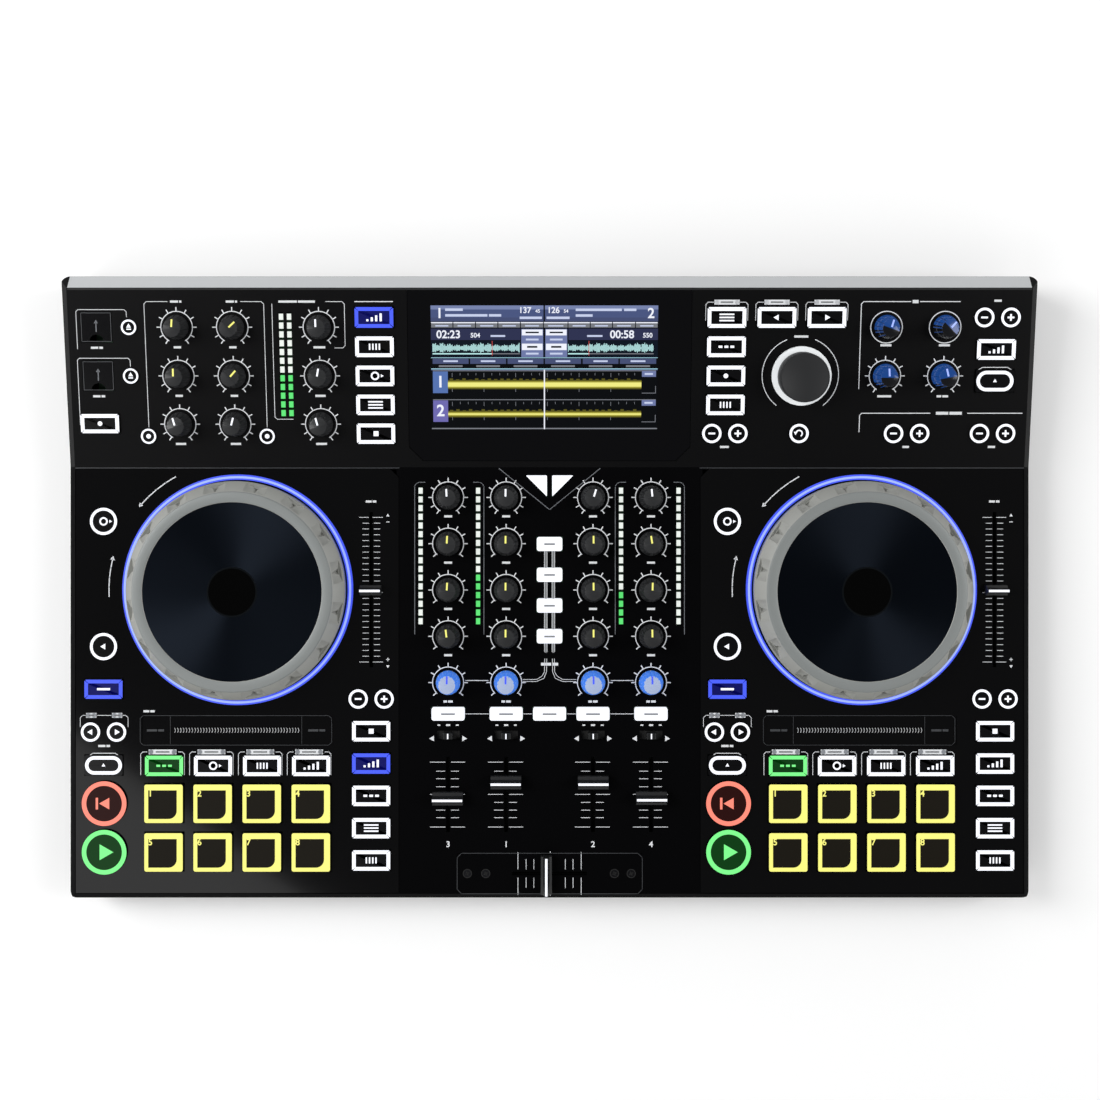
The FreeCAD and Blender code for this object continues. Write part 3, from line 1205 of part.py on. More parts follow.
# Circuit boards and the power supply
boards = []
BOARD_FOOT = f"({BOARD_TOP} - Size.board_thickness)"
for side, sign in SIDES.items():
    boards.append(box(f"deck_board_{side}", "Size.deck_plate_width - Size.board_inset",
                      f"{PLATE_REAR} - {PLATE_FRONT} - 2 * Size.board_inset", "Size.board_thickness",
                      f"{sign} * ({PLATE_OUTER} + {PLATE_INNER}) / 2",
                      f"({PLATE_REAR} + {PLATE_FRONT}) / 2", BOARD_FOOT))
boards.append(box("mixer_board", f"2 * ({PLATE_INNER} - Size.board_margin)",
                  "Size.gain_row - Size.channel_cue_y + 4 * Size.board_margin", "Size.board_thickness", "0",
                  f"({GAIN_Y} + {CHANNEL_CUE_Y}) / 2", BOARD_FOOT))
boards.append(box("supply_case", "Size.supply_length", "Size.supply_width", f"{BOARD_FOOT} - {TRAY_FLOOR}",
                  "0", "0", TRAY_FLOOR))
SLOPE_BOARD_FOOT = "(-Size.case_wall - Size.pot_height - Size.board_thickness)"
slope_boards = []
for side, sign in SIDES.items():
    far = "(Size.case_width / 2 - Size.board_inset)"
    near = "(Size.window_half_width + Size.board_margin)"
    slope_boards.append(box(f"slope_board_{side}", f"{far} - {near}",
                            "Size.rear_row + Size.board_margin - Size.lower_rear_row", "Size.board_thickness",
                            f"{sign} * ({far} + {near}) / 2",
                            "(Size.rear_row + Size.lower_rear_row) / 2", SLOPE_BOARD_FOOT))
boards.append(on_slope(group("slope_boards", slope_boards)))
node(group("board_set", boards), "circuit_boards")

# Rear panel: a bay set into the rear wall, so that nothing sticks out behind the case
REAR_INNER = "(Size.case_depth / 2 - Size.case_wall)"
BAY_FACE = f"({REAR_INNER} - Size.rear_panel_recess)"
BAY_BACK = f"({BAY_FACE} - Size.rear_panel_thickness)"
BAY_HEIGHT = "(Size.rear_window_height + 2 * Size.rear_panel_lap)"
BAY_FOOT = "(Size.rear_window_bottom - Size.rear_panel_lap)"
bay_block = box("bay_block", "Size.rear_window_length + 2 * Size.rear_panel_lap", "Size.rear_panel_recess",
                BAY_HEIGHT, "0", f"({REAR_INNER} + {BAY_FACE}) / 2", BAY_FOOT)
bay_hollow = box("bay_hollow", "Size.rear_window_length", "2 * Size.rear_panel_recess",
                 "Size.rear_window_height", "0", REAR_INNER, "Size.rear_window_bottom")
rear_holes = []
sockets = []


def bay_hole(name, radius, x, sides):
    rear_holes.append(rod(name, f"{radius} + Size.seat_gap", "4 * Size.rear_panel_thickness", x,
                          f"{BAY_BACK} - Size.rear_panel_thickness", "Size.socket_height", "y", sides))


def tube(name, outer, inner, depth, x, sides):
    """A round socket, flush with the bay and bored to a depth from its mouth."""
    length = f"({depth} + Size.socket_wall)"
    shell = rod(name + "_shell", outer, length, x, f"{BAY_FACE} - {length}", "Size.socket_height", "y", sides)
    bore = rod(name + "_bore", inner, f"{depth} + Size.seat_gap", x, f"{BAY_FACE} - {depth}",
               "Size.socket_height", "y", sides)
    bay_hole(name + "_hole", outer, x, sides)
    return cut(name, shell, [bore])


def rear_can(name, length, height, depth, wall, x, front=BAY_FACE):
    """A rectangular socket or frame, open to the rear, with its hole in the bay."""
    outer_length = f"({length} + 2 * {wall})"
    outer_height = f"({height} + 2 * {wall})"
    block = box(name + "_block", outer_length, f"{depth} + {wall}", outer_height, x,
                f"{front} - ({depth} + {wall}) / 2", f"Size.socket_height - {outer_height} / 2")
    hollow = box(name + "_hollow", length, f"2 * {depth}", height, x, front,
                 f"Size.socket_height - ({height}) / 2")
    rear_holes.append(box(name + "_hole", f"{outer_length} + 2 * Size.seat_gap",
                          "4 * Size.rear_panel_thickness", f"{outer_height} + 2 * Size.seat_gap", x, BAY_FACE,
                          f"Size.socket_height - {outer_height} / 2 - Size.seat_gap"))
    return cut(name, block, [hollow])


for i in range(int(value_of("Size.rca_count"))):
    pair = f"{i // 2} * (Size.rca_spacing + Size.rca_pair_spacing)"
    x = f"(Size.rca_first_x + {pair} + {i % 2} * Size.rca_spacing)"
    shell = rod(f"rca_shell_{i}", "Size.rca_radius", "2 * Size.rca_reach", x,
                f"{BAY_FACE} - Size.rca_reach", "Size.socket_height", "y", SMALL)
    pin_way = rod(f"rca_bore_{i}", "Size.rca_pin_radius", "Size.rca_reach + Size.seat_gap", x, BAY_FACE,
                  "Size.socket_height", "y")
    bay_hole(f"rca_hole_{i}", "Size.rca_radius", x, SMALL)
    sockets.append(cut(f"rca_{i}", shell, [pin_way]))
for i in range(2):
    x = f"(Size.xlr_x + {i} * Size.xlr_spacing)"
    parts = [tube(f"xlr_{i}", "Size.xlr_radius", "Size.xlr_bore_radius", "Size.xlr_depth", x, SMALL)]
    for j, angle in enumerate((90, 210, 330)):
        parts.append(rod(f"xlr_{i}_pin_{j}", "Size.xlr_pin_radius",
                         "Size.xlr_depth - 2 * Size.socket_wall", f"{x} + Size.xlr_pin_circle * cos({angle})",
                         f"{BAY_FACE} - Size.xlr_depth",
                         f"Size.socket_height - Size.xlr_pin_circle * sin({angle})", "y", "4"))
    sockets.append(fuse(f"xlr_body_{i}", parts))
    sockets.append(tube(f"combo_{i}", "Size.xlr_radius", "Size.jack_radius", "Size.xlr_depth",
                        f"(Size.combo_x + {i} * Size.xlr_spacing)", SMALL))
for i in range(2):
    sockets.append(tube(f"booth_{i}", "Size.jack_shell_radius", "Size.jack_radius", "Size.jack_depth",
                        f"(Size.booth_x + {i} * Size.booth_spacing)", SMALL))
sockets.append(rear_can("network", "Size.network_length", "Size.network_height", "Size.data_socket_depth",
                        "Size.socket_wall / 2", "Size.network_x"))
sockets.append(rear_can("usb_b", "Size.usb_b_length", "Size.usb_b_height", "Size.data_socket_depth",
                        "Size.socket_wall / 2", "Size.usb_b_x"))
inlet_parts = [rear_can("inlet", "Size.inlet_length", "Size.inlet_height", "Size.inlet_depth",
                        "Size.socket_wall", "Size.inlet_x")]
for i in range(3):
    pin_length = "(Size.inlet_depth - 2 * Size.socket_wall)"
    inlet_parts.append(box(f"inlet_pin_{i}", "Size.inlet_pin_thickness", pin_length, "Size.inlet_pin",
                           f"Size.inlet_x + {i - 1} * Size.inlet_pin_spacing",
                           f"{BAY_FACE} - Size.inlet_depth + {pin_length} / 2",
                           "Size.socket_height - Size.inlet_pin / 2"))
sockets.append(fuse("inlet_body", inlet_parts))

# Power switch: a rocker on a cross pin, at rest with its lower end pressed in
switch_length = "(Size.power_switch_width + 2 * Size.rocker_gap)"
switch_height = "(Size.power_switch_height + 2 * Size.rocker_gap)"
ROCKER_Y = f"({BAY_FACE} - Size.power_switch_depth / 2)"
frame = rear_can("switch", switch_length, switch_height, "Size.power_switch_depth", "Size.socket_wall",
                 "Size.power_switch_x")
pin_room = f"({switch_length} + Size.socket_wall)"
pin_hole = rod("rocker_pin_hole", "Size.rocker_pin_radius + Size.rocker_pin_gap", pin_room,
               f"Size.power_switch_x - {pin_room} / 2", ROCKER_Y, "Size.socket_height", "x")
sockets.append(cut("switch_frame", frame, [pin_hole]))
rocker = doc.addObject("PartDesign::Body", "rocker")
rocker_end = "(Size.power_switch_depth / 2)"
rocker_half = "(Size.power_switch_height / 2 - Size.rocker_gap)"
pad(rocker, "rocker_pad", polygon(rocker, "rocker_profile", "YZ_Plane", [
    ("-2 * Size.rocker_pin_radius", "-2 * Size.rocker_pin_radius"),
    (f"{rocker_end} + Size.rocker_rise", f"-{rocker_half}"),
    (f"{rocker_end} + Size.rocker_rise - {rocker_half} * tan(Size.rocker_angle)", "0"),
    (f"{rocker_end} + Size.rocker_rise", rocker_half),
    ("-2 * Size.rocker_pin_radius", "2 * Size.rocker_pin_radius")]),
    "Size.power_switch_width", midplane=True)
turn(rocker, (-1, 0, 0), "Size.rocker_angle")
put(rocker, "Size.power_switch_x", ROCKER_Y, "Size.socket_height")
pin_length = f"({switch_length} + Size.socket_wall - 2 * Size.seat_gap)"
rocker_pin = rod("rocker_pin", "Size.rocker_pin_radius", pin_length,
                 f"Size.power_switch_x - {pin_length} / 2", ROCKER_Y, "Size.socket_height", "x")
node(fuse("rocker_set", [rocker, rocker_pin]), "power_switch")

# Headphone jacks in the front wall and the two memory stick sockets under their covers
for name, outer, inner, depth, x in (
        ("phones", "Size.jack_shell_radius", "Size.jack_radius", "Size.jack_depth", "Size.phones_x"),
        ("small_phones", "Size.small_jack_shell_radius", "Size.small_jack_radius", "Size.small_jack_depth",
         "(Size.phones_x + Size.small_jack_spacing)")):
    shell = rod(name + "_shell", outer, f"{depth} + Size.socket_wall", x, FRONT_Y, "Size.phones_height", "y",
                SMALL)
    bore = rod(name + "_bore", inner, depth, x, FRONT_Y, "Size.phones_height", "y", SMALL)
    sockets.append(cut(name + "_jack", shell, [bore]))
usb_sockets = []
for cover, y in USB_ROWS.items():
    mouth = "(-Size.case_wall - Size.usb_cover_thickness)"
    usb_sockets.append(open_can(f"usb_socket_{cover}", "Size.pot_size", "Size.pot_size / 2",
                                "Size.pot_height - Size.usb_cover_thickness",
                                "Size.pot_size - Size.board_thickness",
                                "Size.pot_size / 2 - Size.board_thickness", "Size.usb_x", y, mouth))
sockets.append(on_slope(group("usb_sockets", usb_sockets)))
node(group("socket_set", sockets), "sockets")

# The bay is a collar behind the window, closed by four plates: power, inputs and data, phono, outputs
BAY_END = "(Size.rear_window_length / 2 + Size.rear_panel_lap)"
seams = [f"(-{BAY_END})", "Size.power_plate_edge", "Size.data_plate_edge", "Size.output_plate_edge", BAY_END]
bay = [cut("bay_collar", bay_block, [bay_hollow])]
for i, (low, high) in enumerate(zip(seams, seams[1:])):
    block = box(f"rear_plate_block_{i}", f"{high} - {low}", "Size.rear_panel_thickness", BAY_HEIGHT,
                f"({low} + {high}) / 2", f"({BAY_FACE} + {BAY_BACK}) / 2", BAY_FOOT)
    bay.append(cut(f"rear_plate_{i}", block, rear_holes))
node(group("bay", bay), "rear_panel")

doc.recompute()

failed = [o.Name for o in doc.Objects if {"Invalid", "Error"} & set(o.State)]
if failed:
    raise RuntimeError(f"objects failed: {failed}")
for piece in nodes:
    if piece.Shape.isNull() or not piece.Shape.isValid():
        raise RuntimeError(f"{piece.Label} has no valid shape")
os.makedirs("parts", exist_ok=True)
for piece in nodes:
    piece.Shape.exportStep(f"parts/{piece.Label}.step")
print(f"{len(nodes)} sub-parts written")
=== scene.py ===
# %% [markdown]
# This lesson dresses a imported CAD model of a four-channel DJ controller: two decks with a jog wheel and
# pads each, a mixer between them, and a rear part with a screen that rises behind a fold line.
# The frame comes first. It could be drawn again here, but the CAD nodes already hold the real sizes, so
# they stay as they are and finer pieces are laid over them or take their place.

# %% Load the frame
import math

import bpy
from mathutils import Matrix, Vector


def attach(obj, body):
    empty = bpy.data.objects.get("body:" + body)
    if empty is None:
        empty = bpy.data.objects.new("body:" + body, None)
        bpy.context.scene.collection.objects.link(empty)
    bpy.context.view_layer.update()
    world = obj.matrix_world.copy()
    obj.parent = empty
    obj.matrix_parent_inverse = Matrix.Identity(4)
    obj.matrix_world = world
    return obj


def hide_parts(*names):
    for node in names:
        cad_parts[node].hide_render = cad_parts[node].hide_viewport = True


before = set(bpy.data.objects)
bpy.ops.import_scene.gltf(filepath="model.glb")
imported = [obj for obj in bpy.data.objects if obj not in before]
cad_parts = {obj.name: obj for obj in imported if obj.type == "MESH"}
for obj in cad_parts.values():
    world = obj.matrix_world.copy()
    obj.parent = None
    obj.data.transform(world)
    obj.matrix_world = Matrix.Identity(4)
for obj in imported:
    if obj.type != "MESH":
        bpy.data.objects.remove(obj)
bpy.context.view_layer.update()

MM = 0.001

# %% [markdown]
# Everything on the level part is placed by x, y and a height over the panel. On the rear part the same
# numbers are used flat, from the fold line, and one matrix then tilts them into place. Two matrices are
# easier to follow than working out every tilted point by hand.

# %% The two planes of the top
TILT = math.radians(8.55)
DECK = 34.0
FOLD = 83.65
LEVEL = Matrix.Translation((0, 0, DECK * MM))
SLOPE = Matrix.Translation((0, FOLD * MM, DECK * MM)) @ Matrix.Rotation(TILT, 4, "X")
JOGS = {"left": (-213.75, -0.5), "right": (213.75, -0.5)}
CHANNELS = {"3": -69.6, "1": -29.8, "2": 29.8, "4": 69.6}
PRINT = 0.04
print("tilt in degrees:", round(math.degrees(TILT), 2))

# %% [markdown]
# A few small helpers do what a hand would do in the window: clear the selection, pick a piece, add a
# primitive at its size, choose faces by where they lie. Writing them once keeps each later step short.

# %% Selecting and adding
def pick(*pieces):
    """Selects these pieces alone and makes the first one active."""
    bpy.ops.object.select_all(action="DESELECT")
    for piece in pieces:
        piece.select_set(True)
    bpy.context.view_layer.objects.active = pieces[0]


def clear():
    bpy.ops.object.select_all(action="DESELECT")


def settle(name, size=(1, 1, 1), angle=0):
    """Names the new primitive, sizes and turns it, and applies all that to its mesh."""
    piece = bpy.context.object
    piece.name = name
    piece.scale = size
    piece.rotation_euler.z = math.radians(angle)
    bpy.ops.object.transform_apply(location=True, rotation=True, scale=True)
    return piece


def block(name, length, width, height, x=0, y=0, z=0):
    """A block centred on x and y that stands on z, all in millimetres."""
    clear()
    bpy.ops.mesh.primitive_cube_add(size=MM, location=(x * MM, y * MM, (z + height / 2) * MM))
    return settle(name, (length, width, height))


def drum(name, radius, height, x=0, y=0, z=0, sides=64):
    """An upright cylinder that stands on z."""
    clear()
    bpy.ops.mesh.primitive_cylinder_add(vertices=sides, radius=radius * MM, depth=height * MM,
                                        location=(x * MM, y * MM, (z + height / 2) * MM))
    return settle(name)


def card(name, length, width, x=0, y=0, z=PRINT, angle=0):
    """A flat oblong, for print."""
    clear()
    bpy.ops.mesh.primitive_plane_add(size=MM, location=(x * MM, y * MM, z * MM))
    return settle(name, (length, width, 1), angle)


def coin(name, radius, x=0, y=0, z=PRINT, sides=48, angle=0):
    """A flat round, or a flat polygon with few sides."""
    clear()
    bpy.ops.mesh.primitive_circle_add(vertices=sides, radius=radius * MM, fill_type="NGON",
                                      location=(x * MM, y * MM, z * MM))
    return settle(name, angle=angle)


print("helpers ready")

# %% [markdown]
# Edit-mode operators act on what is selected, so the next helpers select faces, edges or corners by a
# test, most often on a face's place and normal. Places are in millimetres, as everywhere else.

# %% Choosing parts of a mesh
def choose(piece, kind, passes):
    """Goes into edit mode with the faces, edges or corners selected that pass."""
    pick(piece)
    bpy.ops.object.mode_set(mode="EDIT")
    bpy.ops.mesh.select_mode(type=kind)
    bpy.ops.mesh.select_all(action="DESELECT")
    leave()
    mesh = piece.data
    for item in {"FACE": mesh.polygons, "EDGE": mesh.edges, "VERT": mesh.vertices}[kind]:
        item.select = passes(item)
    bpy.ops.object.mode_set(mode="EDIT")


def choose_faces(piece, test=lambda at, n: True):
    """Chooses faces by a test on their centre and normal."""
    choose(piece, "FACE", lambda face: test(face.center / MM, face.normal))


def choose_top(piece):
    choose_faces(piece, lambda at, n: n.z > 0.9)


def pull(height):
    """Extrudes the chosen faces straight up, or down where the height is negative."""
    bpy.ops.mesh.extrude_region_move(TRANSFORM_OT_translate={"value": (0, 0, height * MM)})


def thicken(piece, depth):
    """Gives a flat piece a depth, downwards, with its faces turned outwards."""
    choose_faces(piece)
    pull(-depth)
    bpy.ops.mesh.select_all(action="SELECT")
    bpy.ops.mesh.normals_make_consistent(inside=False)
    leave()


def leave():
    bpy.ops.object.mode_set(mode="OBJECT")


def round_corners(piece, radius, steps=4):
    """Rounds the upright edges of a block."""
    def upright(edge):
        a, b = (piece.data.vertices[i].co / MM for i in edge.vertices)
        return abs(a.z - b.z) > 0.01 and abs(a.x - b.x) < 0.01 and abs(a.y - b.y) < 0.01

    choose(piece, "EDGE", upright)
    bpy.ops.mesh.bevel(offset=radius * MM, segments=steps, affect="EDGES")
    leave()
    return piece


def soften(piece, width, steps=2, angle=35):
    """Rounds all sharp edges a little with a bevel that is applied at once."""
    pick(piece)
    bevel = piece.modifiers.new("soft_edges", "BEVEL")
    bevel.width = width * MM
    bevel.segments = steps
    bevel.limit_method = "ANGLE"
    bevel.angle_limit = math.radians(angle)
    bpy.ops.object.modifier_apply(modifier="soft_edges")
    return piece


print("choosers ready")

# %% [markdown]
# What repeats is modelled once. A copy gets its own mesh, which is moved straight to its place, so that
# every finished object stays at the origin. Copies that share a body are joined, to keep the scene light.

# %% Copying and joining
def spot(x, y, z=0, slope=False, turn=0):
    plane = SLOPE if slope else LEVEL
    return plane @ Matrix.Translation((x * MM, y * MM, z * MM)) @ Matrix.Rotation(math.radians(turn), 4, "Z")


def copy_at(piece, name, x, y, z=0, slope=False, turn=0):
    """A copy of a piece with its own mesh, moved to a place on the level part or on the rear part."""
    twin = piece.copy()
    twin.data = piece.data.copy()
    twin.name = name
    bpy.context.scene.collection.objects.link(twin)
    twin.data.transform(spot(x, y, z, slope, turn))
    return twin


def join(name, pieces):
    pick(*pieces)
    if len(pieces) > 1:
        bpy.ops.object.join()
    pieces[0].name = name
    return pieces[0]


def paint(piece, *materials):
    for material in materials:
        piece.data.materials.append(material)
    return piece


def stand_for(piece, node, body=None):
    """Lets a piece ride on a node's body and takes the node's place in the picture."""
    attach(piece, body or node + "_body")
    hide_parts(node)


def gather(node, pieces, body=None):
    """Joins what shares one CAD node and lets it stand for that node."""
    piece = join(node + "_look", pieces)
    stand_for(piece, node, body)
    return piece


def discard(*pieces):
    for piece in pieces:
        bpy.data.objects.remove(piece)


def smooth(piece, angle=35):
    pick(piece)
    bpy.ops.object.shade_smooth_by_angle(angle=math.radians(angle))
    return piece


print("copying ready")

# %% [markdown]
# A finish is a Principled material. Colours are written as they look on a screen and turned into the
# linear values that Blender works with. Lit parts glow a little below the white of paper, over a darker
# base colour, so that they read as lamps without washing out.

# %% Colours and finishes
def linear(code):
    """The linear colour of an sRGB hex code."""
    parts = [int(code[i:i + 2], 16) / 255 for i in (1, 3, 5)]
    return [p / 12.92 if p <= 0.04045 else ((p + 0.055) / 1.055) ** 2.4 for p in parts] + [1.0]


def finish(name, code, rough, metal=0.0, coat=0.0, glow=0.0, glow_code=None, specular=0.5):
    material = bpy.data.materials.new(name)
    material.use_nodes = True
    shader = material.node_tree.nodes["Principled BSDF"]
    shader.inputs["Base Color"].default_value = linear(code)
    shader.inputs["Roughness"].default_value = rough
    shader.inputs["Metallic"].default_value = metal
    shader.inputs["Coat Weight"].default_value = coat
    shader.inputs["Coat Roughness"].default_value = 0.05
    shader.inputs["Specular IOR Level"].default_value = specular
    if glow:
        shader.inputs["Emission Color"].default_value = linear(glow_code or code)
        shader.inputs["Emission Strength"].default_value = glow
    return material


def add_node(material, kind, **settings):
    """Adds a node and sets its sockets by name or its own properties."""
    made = material.node_tree.nodes.new(kind)
    for key, value in settings.items():
        if key in made.inputs:
            made.inputs[key].default_value = value
        else:
            setattr(made, key, value)
    return made


def grain(material, scale, strength, depth=0.05):
    """A fine moulded grain, by bump, in real size on the object's own coordinates."""
    links = material.node_tree.links
    place = add_node(material, "ShaderNodeTexCoord")
    speckle = add_node(material, "ShaderNodeTexNoise", Scale=scale, Detail=3.0)
    bump = add_node(material, "ShaderNodeBump", Strength=strength, Distance=depth * MM)
    links.new(place.outputs["Object"], speckle.inputs["Vector"])
    links.new(speckle.outputs["Fac"], bump.inputs["Height"])
    links.new(bump.outputs["Normal"], material.node_tree.nodes["Principled BSDF"].inputs["Normal"])
    return material


case_black = grain(finish("black moulded case plastic", "#101012", 0.5, specular=0.3), 1500, 0.35)
panel_black = grain(finish("satin black panel paint", "#070708", 0.45, specular=0.1), 1800, 0.25)
mixer_black = grain(finish("matte black mixer paint", "#030304", 0.6, specular=0.03), 1800, 0.25)
plate_gloss = finish("gloss black deck acrylic", "#050506", 0.09, coat=0.15, specular=0.3)
screen_gloss = finish("gloss black screen bezel", "#050507", 0.06, coat=0.2, specular=0.3)
rubber = grain(finish("black rubber", "#141415", 0.7, specular=0.3), 900, 0.4)
steel = finish("nickel plated steel", "#9a9a9e", 0.28, metal=1.0)
dark_steel = finish("black oxide steel", "#2b2b2e", 0.35, metal=1.0)
trim_grey = finish("light grey rear trim", "#b9bbbd", 0.45)
# This grey draws only the fine frames on the stick covers: a painted highlight along their edges.
cover_edge_painted_highlight = finish("grey painted edge highlight", "#4b4d50", 0.4)
board_green = finish("green circuit board", "#14532a", 0.4)
inner_black = finish("black inner plastic", "#0c0c0c", 0.6)
print("finishes:", len(bpy.data.materials))

# %% [markdown]
# Lit parts: white, green, red, yellow and blue lamps behind clear plastic, and the white and grey
# inks of the print. Ink is a plain pale paint with a little glow, because it stays crisp on gloss black.

# %% Lamps and inks
lamp_white = finish("white lit legend", "#a8aab0", 0.35, glow=0.85, glow_code="#f6f8ff")
lamp_green = finish("green lit legend", "#4f9a58", 0.35, glow=0.85, glow_code="#74f083")
lamp_red = finish("red lit legend", "#a05348", 0.35, glow=0.85, glow_code="#fb8672")
lamp_yellow = finish("yellow lit legend", "#8f8c4a", 0.35, glow=0.85, glow_code="#f4f07c")
lamp_blue = finish("blue lit legend", "#2d3c9a", 0.35, glow=0.85, glow_code="#4357f2")
lamp_pale_blue = finish("pale blue lit core", "#6a78a8", 0.35, glow=0.85, glow_code="#9db1ff")
meter_white = finish("white meter lamp", "#9a9e9a", 0.35, glow=0.75, glow_code="#e4eae4")
meter_green = finish("green meter lamp", "#3a8a4a", 0.35, glow=0.8, glow_code="#58e070")
ink = finish("white printed ink", "#d9dbde", 0.6, glow=0.12)
ink_grey = finish("grey printed ink", "#6d7075", 0.6)
key_black = finish("black smoked key plastic", "#08080a", 0.18, specular=0.35)
print("lamps and inks ready")

# %% [markdown]
# The camera stands straight over the controller, as in the picture, with its view shifted a little
# towards the front edge. A shift keeps the level part square to the view, which a tilted camera doesn't.

# %% Camera
camera_data = bpy.data.cameras.new("over_the_deck")
camera = bpy.data.objects.new("over_the_deck", camera_data)
bpy.context.scene.collection.objects.link(camera)
camera.location = (0.0003, 0.0816, 1.034)
camera_data.sensor_width = 36
camera_data.lens = 36 * 1.0 / 0.7546
camera_data.shift_y = -80 / 1100
bpy.context.scene.camera = camera
print("lens in millimetres:", round(camera_data.lens, 2))

# %% [markdown]
# The CAD nodes that stay get their finish directly. Their shapes are already right: the case, the deck
# plates, the rear bay with its sockets, the feet and what lies inside. The level part of the top panel
# is a shade darker than its slope.

# %% Finishes of the frame
NODE_FINISH = {
    "bottom_tray": case_black, "top_panel": panel_black, "deck_plates": plate_gloss,
    "display_window": screen_gloss, "crossfader_plate": mixer_black, "rear_panel": case_black,
    "sockets": steel, "feet": rubber, "case_screws": dark_steel, "circuit_boards": board_green,
    "control_bodies": inner_black, "display_module": inner_black, "usb_cover_upper": key_black,
    "usb_cover_lower": key_black, "power_switch": key_black,
}
for title, material in NODE_FINISH.items():
    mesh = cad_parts[title].data
    mesh.materials.clear()
    mesh.materials.append(material)
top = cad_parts["top_panel"].data
top.materials.append(mixer_black)
for face in top.polygons:
    face.material_index = 0 if face.center.y / MM > FOLD - 0.2 else 1
print("frame nodes finished:", len(NODE_FINISH))

# %% [markdown]
# A rotary knob is a tapered grip with flutes; its rear half slopes away from the player and carries the
# pointer line. It could be a lathe shape, but a cylinder that is scaled at the top, pressed in at every
# fourth face and sliced once gives flutes and slope in four steps. One knob is made per finish.

# %% Rotary knob
knob_grip = grain(finish("soft black knob rubber", "#1b1c1e", 0.55, specular=0.4), 1600, 0.3)
# The frosted knob has a faint painted glow, though it holds no lamp.
frosted = finish("frosted pale blue knob, faint painted glow", "#9aa6c0", 0.4, glow=0.2, glow_code="#9fb6e6")
fx_grip = finish("gloss black effect knob", "#101114", 0.2)
KNOB_LIFT, KNOB_HEIGHT, KNOB_SLOPE, KNOB_SIDES = 0.9, 13.6, 18.0, 56


def make_knob(name, grip, pointer, facet, edge=False):
    knob = drum(name, 8.4, KNOB_HEIGHT, z=KNOB_LIFT, sides=KNOB_SIDES)
    choose_top(knob)
    bpy.ops.transform.resize(value=(0.702, 0.702, 1), center_override=(0, 0, 0))
    leave()
    step = math.radians(360 / KNOB_SIDES)
    choose_faces(knob, lambda at, n: abs(n.z) < 0.5 and int((math.atan2(at.y, at.x) + 7) / step) % 4 == 0)
    bpy.ops.mesh.inset(thickness=0.12 * MM, use_individual=True)
    bpy.ops.transform.shrink_fatten(value=-0.4 * MM)
    leave()
    choose_faces(knob)
    top = Vector((0, 0, (KNOB_LIFT + KNOB_HEIGHT) * MM))
    lean = math.radians(KNOB_SLOPE)
    bpy.ops.mesh.bisect(plane_co=top, plane_no=(0, math.sin(lean), math.cos(lean)), use_fill=True,
                        clear_outer=True)
    leave()
    soften(knob, 0.22, 2, 40)
    smooth(knob, 40)
    paint(knob, grip, facet)
    for face in knob.data.polygons:
        tilt = face.normal.z
        # On the frosted knobs the side wall takes the second finish, a painted blue glow standing for light
        # from the lit base below.
        if edge:
            face.material_index = 1 if 0.02 < tilt < 0.9 and face.center.z / MM > KNOB_LIFT + 0.6 else 0
        else:
            # The sloped facet takes the second finish: a painted highlight on the black knobs, painted blue
            # light on the effect knobs.
            lit = face.normal.y > 0.15 and tilt > 0.9
            # On the effect knobs the faces turned to the rear left take it too, a painted blue reflection.
            if grip is fx_grip:
                lit = lit or 0.8 * face.normal.y - 0.6 * face.normal.x > 0.1
            face.material_index = 1 if lit else 0
    # The pointer line takes a lit legend finish, so the printed line has a painted glow.
    line = paint(block(name + "_line", 1.15, 5.3, 0.3), pointer)
    line.data.transform(Matrix.Translation(top) @ Matrix.Rotation(-lean, 4, "X")
                        @ Matrix.Translation((0, 3.55 * MM, -0.18 * MM)))
    shaft = paint(drum(name + "_shaft", 3, KNOB_LIFT + 2.5, z=-2.2, sides=24), steel)
    return join(name, [knob, line, shaft])


# The black knobs' sloped facet is painted a lighter grey: a painted highlight where light falls on it.
facet_painted_highlight = finish("grey knob facet, painted highlight", "#2a2b2c", 0.35, specular=0.4)
# The effect knobs get a glowing blue on their facet and rear-left side: a painted reflection of blue light.
effect_knob_painted_blue_reflection = finish("effect knob facet, painted blue reflection", "#0c1c40", 0.15, glow=0.5, glow_code="#1f56a8")
# The frosted knobs' side wall glows blue: painted light from the lit base below.
frosted_knob_painted_blue_glow = finish("frosted knob edge, painted blue glow", "#3a6ac0", 0.3, glow=0.6, glow_code="#3f7be0")
knob_models = {
    "white": make_knob("white_knob", knob_grip, lamp_white, facet_painted_highlight),
    "yellow": make_knob("yellow_knob", knob_grip, lamp_yellow, facet_painted_highlight),
    "frosted": make_knob("frosted_knob", frosted, lamp_blue, frosted_knob_painted_blue_glow, True),
    "blue": make_knob("blue_knob", fx_grip, lamp_pale_blue, effect_knob_painted_blue_reflection),
}
print("knob faces:", len(knob_models["white"].data.polygons))

# %% [markdown]
# Each knob stands on a printed scale: an arc with ticks round it. The arc is a ring that loses the part
# towards the player, and the ticks are thin cards turned about the middle. Three scales cover all
# knobs: to both stops, a little shorter, and a bare ring.

# %% Knob scales
def ring(name, outer, inner, z=PRINT, sides=72):
    """A flat ring: a disc that is inset and loses its middle."""
    disc = coin(name, outer, z=z, sides=sides)
    choose_faces(disc)
    bpy.ops.mesh.inset(thickness=(outer - inner) * MM * math.cos(math.pi / sides))
    bpy.ops.mesh.delete(type="FACE")
    leave()
    return disc


